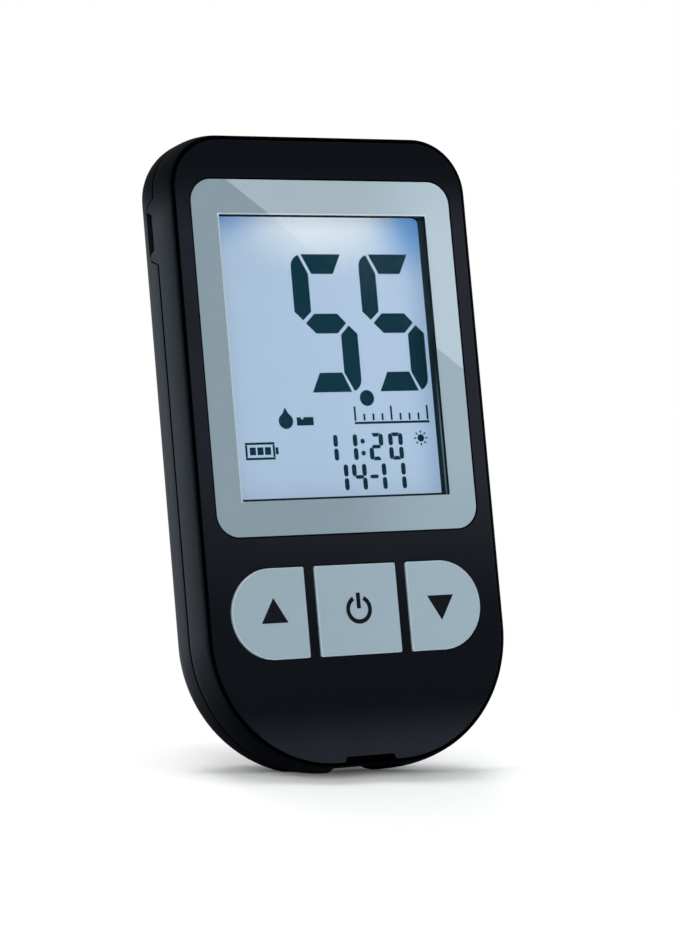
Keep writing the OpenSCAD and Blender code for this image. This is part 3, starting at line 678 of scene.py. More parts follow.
# A thin painted highlight along the inner edge, at the left and at the top.
across = print_and_reflections.ramp(x, -17.02 * mm, -16.96 * mm) * print_and_reflections.ramp(x, 17.0 * mm, 16.9 * mm)
beside = print_and_reflections.ramp(x, -16.5 * mm, -16.6 * mm) * print_and_reflections.ramp(z, 38.6 * mm, 38.7 * mm)
above = print_and_reflections.ramp(z, 79.5 * mm, 79.6 * mm)
inner_edge_highlight = across * print_and_reflections.ramp(z, 80.16 * mm, 80.1 * mm) * (beside + above)
tone = print_and_reflections.blend(inner_edge_highlight * 0.5, tone, inner_edge_highlight_tone)
print_and_reflections.feed(Base_Color=print_and_reflections.blend(grain * 0.12, tone, border_grain_tone),
                Roughness=0.4 + 0.1 * grain)
dress(border, print_and_reflections)
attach(border, "case")

# ---------------------------------------------------------------- Adhesive and dust seal
# A die-cut frame of black adhesive film holds the window. A frame of black foam between the
# front shell and the display keeps dust out.

foam_black = Finish("foam_black", Specular_IOR_Level=0.05)
where = foam_black.place()
pores = foam_black.node("TexVoronoi", {"Vector": where, "Scale": 1 / (0.18 * mm)}, feature="F1")
clouds = foam_black.noise(where, size=2.5, detail=3.0)
tone = foam_black.blend(pores * 0.7 + clouds * 0.3, (0.0025, 0.006, 0.009), (0.007, 0.013, 0.018))
foam_black.feed(Base_Color=tone, Roughness=0.8 + 0.15 * pores,
                Normal=foam_black.bump(pores, depth=0.03, strength=0.6))
for name in ("window_adhesive", "display_seal"):
    dress(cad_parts[name], foam_black)

# ---------------------------------------------------------------- Display
# A liquid crystal panel of two glass plates over a light. Its lit field is pale blue, whiter in
# the middle of the top edge and deeper blue in the corners, and the driven segments are dark.
# Every segment is a thin plate of its own on the front glass.

field_tones = (0.147, 0.201, 0.264), (0.162, 0.214, 0.280)
glow_white = (0.300, 0.335, 0.352)
reflection_grey = (0.36, 0.39, 0.41)
edge_blue = (0.128, 0.193, 0.283)
left_blue = (0.055, 0.120, 0.255)
right_blue = (0.030, 0.112, 0.245)
field_grain_tone = (0.22, 0.26, 0.31)


def reach(x, z, x_share, z_share):
    """A distance with its own weight across and in height."""
    return (x * x * x_share + z * z * z_share) ** 0.5


display = Finish("display_glass", Specular_IOR_Level=0.05, Emission_Strength=1.6)
where = display.place()
x, y, z = display.axes(where)
glow_r = reach(x - 1.2 * mm, z - 81.5 * mm, 0.40, 1.0)
left_r = reach(x + 16.5 * mm, z - 81.0 * mm, 0.35, 1.0)
right_r = reach(x - 17.0 * mm, z - 80.4 * mm, 0.8, 0.6)
grain = display.noise(where, size=0.5, detail=3.0)
drift = display.ramp(x + 0.4 * z, 12 * mm, 46 * mm)
edge_tint = display.ramp(x, 12 * mm, 17.5 * mm) * 0.75
field = display.blend(drift, *field_tones)
field = display.blend(display.ramp(glow_r, 11.5 * mm, 1.0 * mm) * 0.85, field, glow_white)
# A faint painted reflection continues the window's diagonal over the upper left of the field.
above_diagonal = (x + 7.66 * mm) * 0.6375 + (z - 80.97 * mm) * 0.7705
paler = display.ramp(above_diagonal, -0.06 * mm, 0.06 * mm) * display.ramp(z, 73.5 * mm, 78.5 * mm)
paler *= display.ramp(x, 4 * mm, -3 * mm)
field = display.blend(paler * 0.16, field, reflection_grey)
field = display.blend(edge_tint, field, edge_blue)
field = display.blend(display.ramp(left_r, 6.5 * mm, 0) * 0.85, field, left_blue)
field = display.blend(display.ramp(right_r, 8.5 * mm, 0.8 * mm) * 0.9, field, right_blue)
field = display.blend(grain * 0.06, field, field_grain_tone)
display.feed(Base_Color=field, Emission_Color=field, Roughness=0.18 + 0.1 * grain)
dress(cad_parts["lcd_panel"], display)


def plates(name, outlines, depth, thickness, holes=()):
    """Thin printed or driven plates from flat outlines in mm, facing the front."""
    bpy.ops.object.select_all(action="DESELECT")
    curve = bpy.data.curves.new(name, "CURVE")
    curve.dimensions, curve.fill_mode, curve.extrude = "2D", "BOTH", thickness / 2 * mm
    for points in list(outlines) + list(holes):
        outline = curve.splines.new("POLY")
        outline.points.add(len(points) - 1)
        for point, (px, pz) in zip(outline.points, points):
            point.co = (px * mm, pz * mm, 0, 1)
        outline.use_cyclic_u = True
    piece = bpy.data.objects.new(name, curve)
    bpy.context.collection.objects.link(piece)
    take(piece)
    bpy.ops.object.convert(target="MESH")
    piece = bpy.context.object
    piece.rotation_euler = (pi / 2, 0, 0)
    piece.location = (0, at_depth(depth - thickness / 2), 0)
    bpy.ops.object.transform_apply(location=True, rotation=True, scale=True)
    edit(piece)
    bpy.ops.mesh.select_all(action="SELECT")
    bpy.ops.mesh.remove_doubles(threshold=touching)
    point_outwards()
    done()
    return piece


def ring(cx, cz, r, steps=28, from_angle=0.0, to_angle=360.0):
    """Points round a circle, or on a part of it, in either sense."""
    closed = abs(to_angle - from_angle) >= 360
    turn = (to_angle - from_angle) / steps
    return [(cx + r * cos(radians(from_angle + turn * i)), cz + r * sin(radians(from_angle + turn * i)))
            for i in range(steps if closed else steps + 1)]


def oblong(left, low, right, high):
    """The corners of an upright rectangle."""
    return [(left, low), (right, low), (right, high), (left, high)]


# One large five, by the outlines of its top, upper left, middle, lower right and bottom bars
five = [
    [(-2.7, 15.4), (3.75, 15.4), (2.3, 12.5), (-1.2, 12.5)],
    [(-4.45, 13.7), (-4.3, 14.3), (-3.95, 14.8), (-3.5, 15.15), (-3.15, 15.3), (-1.75, 12.5),
     (-1.75, 6.95), (-3.15, 5.7), (-4.45, 6.95)],
    [(-2.75, 5.25), (-1.3, 6.65), (2.45, 6.65), (3.8, 5.25), (2.3, 3.75), (-1.2, 3.75)],
    [(2.8, 3.55), (4.2, 4.9), (5.5, 3.65), (5.5, -3.1), (5.35, -3.75), (5.0, -4.25), (4.6, -4.6),
     (4.25, -4.7), (2.8, -2.0)],
    [(-1.2, -2.0), (2.45, -2.0), (3.8, -4.85), (-2.6, -4.85)],
]

# The seven bars of a small figure, 2.3 wide and 4 high, by the middle and the outline of each
bar_places = {"a": (1.15, 3.85), "g": (1.15, 2.0), "d": (1.15, 0.15),
              "f": (0.32, 3.0), "b": (1.98, 3.0), "e": (0.32, 1.0), "c": (1.98, 1.0)}
upper_half = [(0.36, 0.35), (0.34, 0.62), (0.18, 0.86), (-0.18, 0.86), (-0.34, 0.62), (-0.36, 0.35)]
upright_bar = upper_half + [(-a, -b) for a, b in upper_half]
middle_bar = [(0.74, 0.0), (0.5, 0.27), (-0.5, 0.27), (-0.74, 0.0), (-0.5, -0.27), (0.5, -0.27)]
top_bar = [(0.64, 0.12), (0.56, 0.15), (-0.56, 0.15), (-0.64, 0.12), (-0.36, -0.4), (0.36, -0.4)]
bar_forms = {"a": top_bar, "g": middle_bar, "d": [(a, -b) for a, b in top_bar]}


def small_figure(x, z, lit):
    """The lit bars of a small figure, from its lower left corner."""
    shapes = []
    for name in lit:
        middle_x, middle_z = bar_places[name]
        shapes.append([(x + middle_x + a, z + middle_z + b) for a, b in bar_forms.get(name, upright_bar)])
    return shapes


# Two large fives with a point between them, and the time and the date in small figures
segments = []
for shift in (0.0, 11.1):
    segments += [[(px + shift, pz + window_z) for px, pz in bar] for bar in five]
segments.append(ring(6.15, window_z - 5.8, 1.17))
time_z, date_z = window_z - 14.95, window_z - 19.3
for left, lit in ((-1.6, "bc"), (1.6, "bc"), (5.85, "abged"), (9.1, "abcdef")):
    segments += small_figure(left, time_z, lit)
for height in (2.85, 1.1):
    segments.append(ring(4.8, time_z + height, 0.36, 14))
for left, lit in ((-0.3, "bc"), (2.7, "fgbc"), (5.1, "g"), (5.95, "bc"), (9.15, "bc")):
    segments += small_figure(left, date_z, lit)

# A drop with a strip beside it, which has a bite in its upper edge
drop_x, drop_z = -7.35, window_z - 8.75
segments.append([(drop_x, drop_z + 1.85), (drop_x + 0.45, drop_z + 0.95)]
                + ring(drop_x, drop_z - 0.15, 1.15, 20, 35, -215) + [(drop_x - 0.45, drop_z + 0.95)])
strip_low, strip_high, bite_low = drop_z - 0.85, drop_z + 0.35, drop_z + 0.05
segments.append([(-5.6, strip_low), (-5.6, strip_high), (-4.9, strip_high), (-4.9, bite_low),
                 (-4.5, bite_low), (-4.5, strip_high), (-2.9, strip_high), (-2.9, strip_low)])

# A scale of nine marks
scale_z, tick_pitch, tick_half = window_z - 9.6, 1.5, 0.15
segments.append(oblong(3.8, scale_z, 16.2, scale_z + 0.34))
for i in range(9):
    tick_x, tick_top = 3.95 + tick_pitch * i, scale_z + (2.6 if i % 4 == 0 else 1.5)
    segments.append(oblong(tick_x - tick_half, scale_z + 0.5, tick_x + tick_half, tick_top))

# A small sun for the morning, with eight rays
sun_x, sun_z, ray_start, ray_end, ray_half = 14.5, window_z - 11.85, 0.75, 1.12, 0.1
segments.append(ring(sun_x, sun_z, 0.55, 18))
for i in range(8):
    turn = radians(45 * i)
    out, side_way = Vector((cos(turn), sin(turn))), Vector((-sin(turn), cos(turn)))
    segments.append([tuple(Vector((sun_x, sun_z)) + out * r + side_way * w)
                     for r, w in oblong(ray_start, -ray_half, ray_end, ray_half)])

# A battery: its outline in four bars, its knob, and three full cells
battery_x, battery_z = -14.2, window_z - 14.4
for left, bottom, right, top in ((0, 0, 4.7, 0.32), (0, 2.18, 4.7, 2.5), (0, 0.36, 0.32, 2.14),
                                 (4.38, 0.36, 4.7, 2.14), (4.8, 0.75, 5.25, 1.75),
                                 (0.7, 0.7, 1.65, 1.8), (1.9, 0.7, 2.85, 1.8), (3.1, 0.7, 4.05, 1.8)):
    segments.append(oblong(battery_x + left, battery_z + bottom, battery_x + right, battery_z + top))

glass_depth = 3.1
digits = plates("display_figures", segments, glass_depth, thickness=0.03)
ink = speckled("segment_ink", dark=(0.0040, 0.028, 0.046), pale=(0.0055, 0.034, 0.054), grain=0.8,
               roughness=0.5, spread=0.1, Specular_IOR_Level=0.0)
dress(digits, ink)
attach(digits, "case")

# The black frame printed on the glass round the lit field
low, high, half, corner = 39.38, 80.24, 17.26, 1.1
lit_field = ([(half, low), (half, high - corner)] + ring(half - corner, high - corner, corner, 10, 0, 90)
             + ring(corner - half, high - corner, corner, 10, 90, 180) + [(-half, low)])
mask = plates("display_mask", [oblong(-17.6, 38.3, 17.6, 80.6)], glass_depth, thickness=0.02,
              holes=[lit_field])
# The mask is printed in the same dark teal.
dress(mask, spill_and_print_teal)
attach(mask, "case")

# ---------------------------------------------------------------- Keys
# Three moulded caps of grey-blue plastic with a satin face, each with a flange behind the floor
# of the front shell that keeps it in. Their marks are printed in black.

key_front, key_edge_depth = -0.3, -0.1
flange_grow, flange_start, flange_end = 0.6, 2.9, 3.7
key_rounding = [(0.01, -0.15), (0.04, -0.21), (0.09, -0.26), (0.15, -0.29), (0.21, key_front)]
key_tones = (0.258, 0.343, 0.398), (0.286, 0.378, 0.437)
key_edge_highlight = (0.52, 0.66, 0.74)
key_finish = Finish("key_grey", Specular_IOR_Level=0.28)
where = key_finish.place()
x, y, z = key_finish.axes(where)
fine = key_finish.noise(where, size=0.13, detail=3.0, rough=0.6)
clouds = key_finish.noise(where, size=6.0, detail=2.0)
# A painted highlight lightens the rounded front edge of each cap.
edges = key_finish.ramp(y, at_depth(-0.29), at_depth(-0.23))
# Painted light: the caps grow lighter towards the right, mixed with their own random tone.
painted_light_to_right = key_finish.ramp(x, -16 * mm, 18 * mm)
tone = key_finish.blend(painted_light_to_right * 0.7 + clouds * 0.2 + fine * 0.1, *key_tones)
key_finish.feed(Base_Color=key_finish.blend(edges * 0.8, tone, key_edge_highlight), Roughness=0.4 + 0.08 * fine,
                Normal=key_finish.bump(fine, depth=0.01, strength=0.35))
mark_ink = speckled("mark_ink", dark=(0.0065, 0.0075, 0.0105), pale=(0.0095, 0.0110, 0.0145), grain=0.3,
                    roughness=0.45, spread=0.1, detail=2.0, Specular_IOR_Level=0.0)

# The marks are a triangle, a ring with a bar in its gap, and a triangle the other way up
mark_r, mark_inner_r, mark_gap_from, mark_gap_to = 2.08, 1.45, 117, 423
marks = {
    "up_key": [[(-15.6, 21.42), (-11.4, 21.42), (-13.5, 25.0)]],
    "power_key": [ring(0, key_z, mark_r, 28, mark_gap_from, mark_gap_to)
                  + ring(0, key_z, mark_inner_r, 28, mark_gap_to, mark_gap_from),
                  oblong(-0.32, key_z + 0.12, 0.32, key_z + 2.38)],
    "down_key": [[(15.55, 24.17), (11.25, 24.17), (13.4, 20.55)]],
}
for side, body in ((-1, "up_key"), (0, "power_key"), (1, "down_key")):
    key = key_tool(side, grow=0, from_depth=key_edge_depth, to_depth=3.0)
    key.name = body + "_cap"
    shape_end(key, (0, key_edge_depth), key_rounding, -1)
    carve(key, key_tool(side, flange_grow, flange_start, flange_end), "UNION")
    smooth(key)
    dress(key, key_finish)
    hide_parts(body)
    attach(key, body)
    mark = plates(body + "_mark", marks[body], key_front, thickness=0.012)
    dress(mark, mark_ink)
    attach(mark, body)

# ---------------------------------------------------------------- Display frame and light
# A white moulded frame holds the panel, with a clear light plate behind it, whose back is
# stippled with white dots, and small lamps of white resin along its edge.


def clouded(name, dark, pale, cloud, grain, roughness, spread, depth, cloud_detail=3.0, **constants):
    """A finish with clouds in its colour and a fine grain in its roughness and relief."""
    finish = Finish(name, **constants)
    where = finish.place()
    fine = finish.noise(where, grain, detail=3.0)
    finish.feed(Base_Color=finish.blend(finish.noise(where, cloud, cloud_detail), dark, pale),
                Roughness=roughness + spread * fine, Normal=finish.bump(fine, depth, strength=0.3))
    return finish


white_plastic = clouded("white_plastic", dark=(0.66, 0.67, 0.66), pale=(0.74, 0.745, 0.73), cloud=7.0,
                        grain=0.25, roughness=0.38, spread=0.15, depth=0.015, Specular_IOR_Level=0.35)
light_plate = Finish("light_plate", Specular_IOR_Level=0.5)
dots = light_plate.node("TexVoronoi", {"Vector": light_plate.place(), "Scale": 1 / (0.6 * mm),
                                       "Randomness": 0.15}, feature="F1")
dotted = light_plate.ramp(dots, 0.45, 0.3)
light_plate.feed(Base_Color=light_plate.blend(dotted, (0.56, 0.63, 0.68), (0.82, 0.85, 0.86)),
                 Roughness=0.15 + 0.3 * dotted)
for name in ("display_frame", "backlight_leds"):
    dress(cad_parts[name], white_plastic)
dress(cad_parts["backlight_plate"], light_plate)

# ---------------------------------------------------------------- Display connector
# A strip of silicone in which thin layers of carbon-filled rubber carry the signals from the
# board to the glass. It is only squeezed in its place.

elastomer = Finish("elastomer", Specular_IOR_Level=0.25)
where = elastomer.place()
layers = elastomer.node("TexWave", {"Vector": where, "Scale": 1 / (8 * mm), "Distortion": 0.2,
                                    "Detail": 1.0},
                        wave_type="BANDS", bands_direction="X", wave_profile="SIN")
dust = elastomer.noise(where, size=0.3, detail=3.0)
elastomer.feed(Base_Color=elastomer.blend(layers, (0.02, 0.02, 0.022), (0.33, 0.34, 0.36)),
               Roughness=0.55 + 0.2 * dust)
dress(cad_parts["display_connector"], elastomer)

# ---------------------------------------------------------------- Circuit board
# Glass-fibre board under a green solder mask, with fine copper tracks that show paler through
# the mask and plated holes. The pads under the keys are gold.

mask_tones = (0.006, 0.075, 0.030), (0.010, 0.098, 0.040)
track_green = (0.022, 0.17, 0.065)
hole_gold = (0.62, 0.46, 0.22)
board_green = Finish("board_green", Specular_IOR_Level=0.45)
where = board_green.place()
cells = board_green.node("TexVoronoi", {"Vector": where, "Scale": 1 / (2.4 * mm), "Randomness": 0.85},
                         feature="F1", distance="CHEBYCHEV")
tracks = board_green.node("TexWave", {"Vector": where, "Scale": 1 / (5 * mm), "Distortion": 3.0,
                                      "Detail": 0.0},
                          wave_type="BANDS", bands_direction="Z", wave_profile="SIN")
track = board_green.ramp(tracks, 0.55, 0.75) * board_green.ramp(cells, 0.2, 0.3)
hole = board_green.ramp(cells, 0.1, 0.07)
weave = board_green.noise(where, size=0.4, detail=3.0)
tone = board_green.blend(track * 0.8, board_green.blend(weave, *mask_tones), track_green)
board_green.feed(Base_Color=board_green.blend(hole, tone, hole_gold), Metallic=hole,
                 Roughness=0.28 + 0.15 * weave, Normal=board_green.bump(track, depth=0.03, strength=0.5))
dress(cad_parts["main_board"], board_green)


def plated(name, dark, pale, grain, roughness):
    """Plated metal: brushed by its grain, with a faint tarnish."""
    finish = Finish(name, Metallic=1.0)
    where = finish.place()
    fine = finish.noise(where, grain, detail=3.0, rough=0.6)
    cloud = finish.noise(where, size=12 * grain, detail=3.0)
    finish.feed(Base_Color=finish.blend(cloud * 0.7 + fine * 0.3, dark, pale),
                Roughness=roughness + 0.14 * fine, Normal=finish.bump(fine, depth=0.01, strength=0.3))
    return finish


gold = plated("contact_gold", dark=(0.66, 0.44, 0.15), pale=(0.83, 0.60, 0.26), grain=0.12, roughness=0.22)
dress(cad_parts["key_contacts"], gold)

# ---------------------------------------------------------------- Chips and small parts
# Black epoxy packages with a matt top, a clock crystal in a nickel can, tan ceramic capacitors
# with tinned ends, and a round sounder, all soldered to the back of the board.

nickel = plated("nickel", dark=(0.34, 0.33, 0.31), pale=(0.50, 0.49, 0.46), grain=0.15, roughness=0.24)
chip_black = Finish("chip_black", Specular_IOR_Level=0.3)
where = chip_black.place()
grit = chip_black.noise(where, size=0.1, detail=2.0, rough=0.7)
clouds = chip_black.noise(where, size=3.0, detail=3.0)
tone = chip_black.blend(grit * 0.5 + clouds * 0.5, (0.011, 0.011, 0.012), (0.026, 0.026, 0.027))
chip_black.feed(Base_Color=tone, Roughness=0.55 + 0.2 * grit,
                Normal=chip_black.bump(grit, depth=0.015, strength=0.5))
ceramic_tan = speckled("capacitor_tan", dark=(0.30, 0.19, 0.095), pale=(0.42, 0.28, 0.15), grain=0.2,
                       roughness=0.35, spread=0.2, Specular_IOR_Level=0.4)
for name in ("processor", "memory_chip", "buzzer"):
    dress(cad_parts[name], chip_black)
dress(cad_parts["clock_crystal"], nickel)
dress(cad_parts["board_capacitors"], ceramic_tan)

# ---------------------------------------------------------------- Strip connector and data port
# The strip connector is black moulded plastic with gold-plated sprung leaves. The data port is
# a folded steel shell with a dull dark plate, set deep in the side.

port_dark = plated("port_shell", dark=(0.020, 0.022, 0.026), pale=(0.040, 0.043, 0.048), grain=0.2,
                   roughness=0.4)
dress(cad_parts["strip_connector"], chip_black)
dress(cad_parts["strip_contacts"], gold)
dress(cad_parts["data_port"], port_dark)

# ---------------------------------------------------------------- Keypad
# One mat of grey translucent silicone, moulded with a boss under each key that closes the
# contact on the board. It is held between the board and the front shell.

silicone = clouded("silicone", dark=(0.30, 0.31, 0.33), pale=(0.38, 0.39, 0.41), cloud=4.0, grain=0.2,
                   roughness=0.45, spread=0.15, depth=0.015, Subsurface_Weight=0.15,
                   Subsurface_Scale=0.4 * mm, Specular_IOR_Level=0.3)
for name in ("keypad_mat", "up_key_boss", "power_key_boss", "down_key_boss"):
    dress(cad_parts[name], silicone)

# ---------------------------------------------------------------- Coin cells
# Two 3 V lithium coin cells: a rolled steel can, its edge crimped over a dark gasket onto the
# smaller cap. The can's flat face, under the cover, is stamped with a plus.

cell_places, round_steps = (32.0, 53.0), 96
can_d, can_start, can_end = 20, 10.55, 12.7
cap_d, cap_start, cap_end = 17, 10.1, 10.46
gasket_d, gasket_hole_d, gasket_start, gasket_end = 18.3, 17.05, 10.15, 10.47
can_back = [(0.04, 12.87), (0.15, 13.0), (0.32, 13.08), (0.55, 13.1), (1.3, 13.1), (1.42, 13.06),
            (1.7, 13.06), (1.82, 13.1)]
can_crimp = [(0.05, 10.38), (0.2, 10.26), (0.45, 10.2), (0.8, 10.2), (0.8, 10.45)]
cap_rounding = [(0.05, 9.99), (0.2, 9.92), (0.5, 9.9)]
gasket_rounding = [(0.12, 10.1), (0.3, 10.1)]
plus_w, plus_line, plus_depth = 3.6, 0.6, 13.06
cell_steel = Finish("cell_steel", Metallic=1.0)
where = cell_steel.place()
drawn_out = cell_steel.node("Mapping", {"Vector": where, "Scale": (1.0, 1.0, 0.04)})
fine = cell_steel.noise(where, size=0.08, detail=2.0)
brushed = cell_steel.noise(drawn_out, size=0.25, detail=3.0)
smear = cell_steel.noise(where, size=5.0, detail=3.0)
cell_steel.feed(Base_Color=cell_steel.blend(smear, (0.46, 0.46, 0.45), (0.60, 0.60, 0.59)),
                Roughness=0.2 + 0.12 * brushed + 0.08 * smear,
                Normal=cell_steel.bump(brushed + 0.3 * fine, depth=0.012, strength=0.25))
gasket_black = speckled("gasket_black", dark=(0.012, 0.012, 0.014), pale=(0.024, 0.024, 0.027), grain=0.15,
                        roughness=0.45, spread=0.2, Specular_IOR_Level=0.3)


def copied(piece, rise):
    """A copy of a piece with its own mesh, moved up by a rise in mm."""
    twin = piece.copy()
    twin.data = piece.data.copy()
    bpy.context.collection.objects.link(twin)
    twin.data.transform(Matrix.Translation((0, 0, rise * mm)))
    return twin


# The lower cell is modelled, and the upper one is its copy
cell_z = cell_places[0]
can = post(0, cell_z, can_start, can_end, can_d, round_steps)
shape_end(can, (0, can_end), can_back, 1)
shape_end(can, (0, can_start), can_crimp, -1)
plus = block(0, cell_z, plus_depth, plus_w, plus_line, t=1)
carve(plus, block(0, cell_z, plus_depth - 0.005, plus_line, plus_w, t=1.01), "UNION")
carve(can, plus)
cap = post(0, cell_z, cap_start, cap_end, cap_d, round_steps)
shape_end(cap, (0, cap_start), cap_rounding, -1)
gasket = post(0, cell_z, gasket_start, gasket_end, gasket_d, round_steps)
shape_end(gasket, (0, gasket_start), gasket_rounding, -1)
carve(gasket, post(0, cell_z, 9, 11, gasket_hole_d, round_steps))
cell_pieces = (("cell_can", can, cell_steel), ("cell_cap", cap, cell_steel),
               ("cell_gasket", gasket, gasket_black))
for name, piece, finish in cell_pieces:
    smooth(piece)
    dress(piece, finish)
for number, place in enumerate(cell_places):
    for name, piece, finish in cell_pieces:
        if place != cell_z:
            piece = copied(piece, place - cell_z)
        piece.name = "%s_%d" % (name, number + 1)
        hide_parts("coin_cells")
        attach(piece, "case")
for name in ("negative_contacts", "positive_contacts"):
    dress(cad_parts[name], nickel)

# ---------------------------------------------------------------- Rear case
# The rear shell is moulded in the same black plastic. Its sides turn in a long rounding to the
# flat back. The battery tray, its ledge, the holes for the screws and the notch round the data
# port are moulded in.

rear_edge, rear_start = 0.06, seam_depth + seam_half
lap_inset, lap_depth = 0.8, 6.2
ledge_low, ledge_high, ledge_w = 18.6, 67.8, 26.8
tray_mid, tray_depth, tray_w, tray_h = 42.5, 9.6, 21.2, 42.2
pocket_low, pocket_high, pocket_w, pocket_depth = 19.4, 65.6, 25.2, 13.35
pocket_mid, pocket_h = (pocket_low + pocket_high) / 2, pocket_high - pocket_low
tab_x, tab_room_w, tab_depth = 7, 4.4, 11.8
sleeve_d, sleeve_start, sleeve_end = 5.6, 8.3, 14.0
shank_room_d, head_room_d, head_seat, behind = 2.25, 4.2, 12.3, 16
rear_case = case_form("rear_shell")
trim(rear_case, rear_start, "back")
edit(rear_case)
pick("edges", level_with(rear_start))
round_off(rear_edge, 2)
pick("faces", level_with(rear_start))
lap = [(lap_inset, rear_start), (lap_inset, lap_depth), (wall, lap_depth), (wall, turn_depth)]
follow((rear_edge, rear_start), lap, -1)
follow((wall, turn_depth), arc(side_r, turn_depth, side_r - wall, 12), -1)
done()
carve(rear_case, block(0, (ledge_low + ledge_high) / 2, 8.8, ledge_w, ledge_high - ledge_low, 5.2), "UNION")
for x, z in screws:
    carve(rear_case, post(x, z, sleeve_start, sleeve_end, sleeve_d), "UNION")
carve(rear_case, block(0, tray_mid, tray_depth, tray_w, tray_h, t=8))
carve(rear_case, block(0, pocket_mid, pocket_depth, pocket_w, pocket_h, t=4, r=1.5))
for side in (-1, 1):
    carve(rear_case, block(side * tab_x, pocket_high - 1, tab_depth, tab_room_w, h=2, t=4))
    carve(rear_case, block(side * tab_x, pocket_high, tab_depth, tab_room_w, h=2.8, t=1.4))
for z in cell_places:
    carve(rear_case, block(0, z, depth=8, w=2.0, h=1.0, t=3))
    carve(rear_case, block(10.3, z, depth=8, w=0.7, h=3.6, t=3))
carve(rear_case, block(0, pocket_low, case_t - 0.9, w=10, h=5, t=3, r=1.2))
for x, z in screws:
    carve(rear_case, post(x, z, 7, behind, shank_room_d))
    carve(rear_case, post(x, z, head_seat, behind, head_room_d, steps=48))
carve(rear_case, port_wedge(0.2))
carve(rear_case, port_slot())
carve(rear_case, strip_scoop())
carve(rear_case, block(0, 1, depth=4.9, w=7.6, h=5, t=1.4))
soften(rear_case, 0.12, lambda co: co.y > at_depth(14.2) / mm and 12 < co.z < 70 and abs(co.x) < 13.5)
smooth(rear_case)
# The rear shell's finish, likewise darkened at its ends by painted shade
rear_black = moulded_black("rear_black", dark=(0.0062, 0.0076, 0.0100), pale=(0.0112, 0.0132, 0.0166),
                           grain=0.26, roughness=0.46, depth=0.03)
dress(rear_case, rear_black)
# The chamfers at the seam take the painted shade.
line(rear_case, painted_shade_black, in_seam)
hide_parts("rear_case")
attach(rear_case, "case")

# ---------------------------------------------------------------- Battery cover
# A thin moulded cover, flush with the back. Two tabs lap under the back wall at its upper edge,
# a sprung finger between two slits holds its lower edge, and ribs above the finger give grip.

cover_low, cover_gap, cover_t = 19.5, 0.1, 1.45
grip_pitch, grip_start, grip_w = 1.6, 7, 9
cover = block(0, pocket_mid, pocket_depth, pocket_w - 2 * cover_gap, pocket_h - 2 * cover_gap, cover_t,
              r=1.4)
cover.name = "cover_panel"
for side in (-1, 1):
    tab = block(side * tab_x, 65.5, depth=12.2, w=4, h=2.4, t=0.9)
    carve(tab, block(side * tab_x, 64.88, depth=12.25, w=3.9, h=1.1, t=1.3), "UNION")
    carve(cover, tab, "UNION")
    carve(cover, block(side * 4, cover_low, depth=10, w=0.5, h=10, t=8))
for i in range(4):
    carve(cover, block(0, cover_low + grip_start + grip_pitch * i, case_t - 0.35, grip_w - grip_pitch * i,
                       h=0.8, t=2, r=0.3))
soften(cover, 0.12, lambda co: co.y > at_depth(14.3) / mm)
smooth(cover)
dress(cover, rear_black)
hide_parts("battery_cover")
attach(cover, "battery_cover")

# ---------------------------------------------------------------- Screws
# Four pan-head screws of zinc-plated steel with a cross recess, sunk in the rear case. Each was
# driven home to its own angle.

shank_d, shank_start, head_d, head_end = 1.95, 4.3, 3.8, 13.5
head_rounding = [(0.12, 13.6), (0.35, 13.68), (0.7, 13.7)]
cross_depth, cross_w, cross_line = 13.1, 2.2, 0.5
first_turn, turn_between = 20, 35
screw_steel = clouded("screw_steel", dark=(0.30, 0.31, 0.33), pale=(0.44, 0.45, 0.46), cloud=1.5,
                      grain=0.12, roughness=0.3, spread=0.18, depth=0.01, cloud_detail=2.0,
                      Metallic=1.0, Specular_IOR_Level=0.5)
for number, (x, z) in enumerate(screws):
    screw = post(x, z, shank_start, head_seat + 0.05, shank_d, steps=24)
    head = post(x, z, head_seat, head_end, head_d)
    shape_end(head, (0, head_end), head_rounding, 1)
    driven = first_turn + turn_between * number
    for turn in (driven, driven + 90):
        cross = block(0, 0, cross_depth, cross_w, cross_line, t=1)
        cross.rotation_euler = (0, radians(turn), 0)
        cross.location = (x * mm, 0, z * mm)
        take(cross)
        bpy.ops.object.transform_apply(location=True, rotation=True, scale=True)
        carve(head, cross)
    carve(screw, head, "UNION")
    screw.name = "screw_%d" % (number + 1)
    smooth(screw)
    dress(screw, screw_steel)
    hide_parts("case_screws")
    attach(screw, "case")

# ---------------------------------------------------------------- Stage
# The meter stands on a smooth white table that falls away softly in front and rises behind. Five
# plain rectangular lamps light it, and the backdrop is white.

table_size, table_steps, middle_spread, table_gap = 1.8, 260, 0.06, 0.02
fall_start, fall_slope, fall_limit, fall_round = 1.6, 0.55, 14, 1.5
rise_slope, rise_limit, rise_round = 0.3, 8, 5
side_slope, side_limit, side_round = 0.12, 1.3, 6
rays = ("Is Camera Ray", "Is Glossy Ray", "Is Transmission Ray")

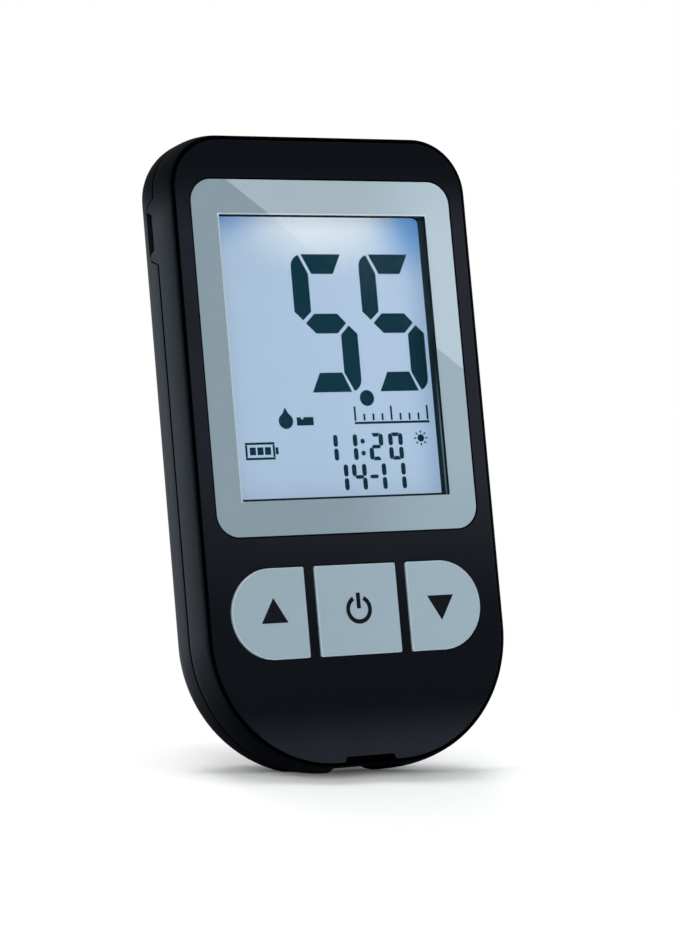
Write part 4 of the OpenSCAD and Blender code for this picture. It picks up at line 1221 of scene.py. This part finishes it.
# The table is a grid, finest in the middle, bent down in front and up behind
bpy.ops.object.select_all(action="DESELECT")
bpy.ops.mesh.primitive_grid_add(x_subdivisions=table_steps, y_subdivisions=table_steps, size=table_size,
                                location=(0, 0, 0))
table = bpy.context.object
table.name = "table"
for vertex in table.data.vertices:
    flat = Vector((vertex.co.x, vertex.co.y)) / mm
    flat *= middle_spread + (1 - middle_spread) * min(1.0, flat.length / (table_size / 2 / mm))
    ahead = -flat.y - fall_start
    fall = fall_slope * (hypot(max(ahead, 0), fall_round) - fall_round)
    rise = rise_slope * (hypot(min(ahead, 0), rise_round) - rise_round)
    side_fall = side_slope * (hypot(flat.x, side_round) - side_round) * (1 if flat.x > 0 else -1)
    height = rise_limit * tanh(rise / rise_limit) - fall_limit * tanh(fall / fall_limit)
    height = height - side_limit * tanh(side_fall / side_limit) - table_gap
    vertex.co = (flat.x * mm, flat.y * mm, height * mm)
smooth(table, 180)
table_white = Finish("table_white", Base_Color=(0.95, 0.95, 0.95, 1), Roughness=0.9, Specular_IOR_Level=0.0)
x, y, z = table_white.axes(table_white.place())
far_away = table_white.ramp((x * x + y * y) ** 0.5, 0.16, 0.40)
seen, mirrored, through = (table_white.node("LightPath", output=ray) for ray in rays)
table_white.feed(Emission_Color=table_white.blend(far_away, (0.05, 0.05, 0.05), (0.7, 0.7, 0.7)),
                 Emission_Strength=seen + mirrored + through)
dress(table, table_white)


class Backdrop(Finish):
    """The world round the stage, built up like a finish on its own background shader."""

    def __init__(self, name, colour):
        world = bpy.data.worlds.new(name)
        world.use_nodes = True
        bpy.context.scene.world = world
        self.tree = world.node_tree
        self.shader = self.tree.nodes["Background"]
        self.shader.inputs["Color"].default_value = (*colour, 1)


# The backdrop is white wherever it is seen, also in a reflection, and dimmer as a light
backdrop_light = 0.55
backdrop = Backdrop("studio", colour=(1, 1, 1))
seen, mirrored, through = (backdrop.node("LightPath", output=ray) for ray in rays)
seen = seen + mirrored + through
backdrop.feed(Strength=seen.maths("MAXIMUM", seen.maths("MINIMUM", seen, 1.0), backdrop_light))


def softbox(name, place, aim, w, h, level, colour=(1, 1, 1)):
    """A plain rectangular light. level is how bright it looks, where 1 is white."""
    light = bpy.data.lights.new(name, "AREA")
    light.shape, light.size, light.size_y = "RECTANGLE", w, h
    light.energy, light.color = level * pi * w * h, colour
    lamp = bpy.data.objects.new(name, light)
    bpy.context.collection.objects.link(lamp)
    lamp.matrix_world = (Matrix.Translation(place)
                         @ (Vector(aim) - Vector(place)).to_track_quat("-Z", "Y").to_matrix().to_4x4())
    return lamp


softbox("overhead", place=(0.0, 0.0, 0.72), aim=(0, 0, 0), w=0.5, h=0.5, level=3.9)
softbox("behind", place=(0.0, 0.5, 0.52), aim=(0, 0, 0), w=0.4, h=0.4, level=1.0)
softbox("left_strip", place=(-0.52, 0.74, 0.16), aim=(-0.02, 0, 0.05), w=0.34, h=0.42, level=11.0,
        colour=(0.72, 0.86, 1.0))
softbox("front", place=(-0.55, -0.85, 0.45), aim=(0, 0, 0.05), w=0.5, h=0.5, level=2.6)

# A strip light whose reflection lies across the window, with its lower edge on a diagonal
edge_from, edge_to = Vector((0.4285, 0.2853)), Vector((0.5457, 0.1950))
edge_way = (edge_to - edge_from).normalized()
up_way = Vector((-edge_way.y, edge_way.x))
panel_h, panel_y = 0.26, -0.9
middle = (edge_from + edge_to) / 2 + panel_h / 2 * up_way
panel = softbox("panel", place=(0, 0, 0), aim=(0, 1, 0), w=0.6, h=panel_h, level=3.8,
                colour=(0.84, 0.93, 1.0))
panel.matrix_world = Matrix(((edge_way.x, up_way.x, 0, middle.x), (0, 0, -1, panel_y),
                             (edge_way.y, up_way.y, 0, middle.y), (0, 0, 0, 1)))

# The camera stands low, to the left of the meter, with a long lens
camera = bpy.data.objects.new("camera", bpy.data.cameras.new("camera"))
bpy.context.collection.objects.link(camera)
camera.data.lens, camera.data.sensor_width = 121.52, 36
camera.data.clip_start = 0.01
camera.location = (-0.214956, -0.408957, -0.005062)
camera.rotation_euler = (radians(95.9578), radians(4.9742), radians(-27.5213))
bpy.context.scene.camera = camera
bpy.context.scene.view_settings.view_transform = "Standard"
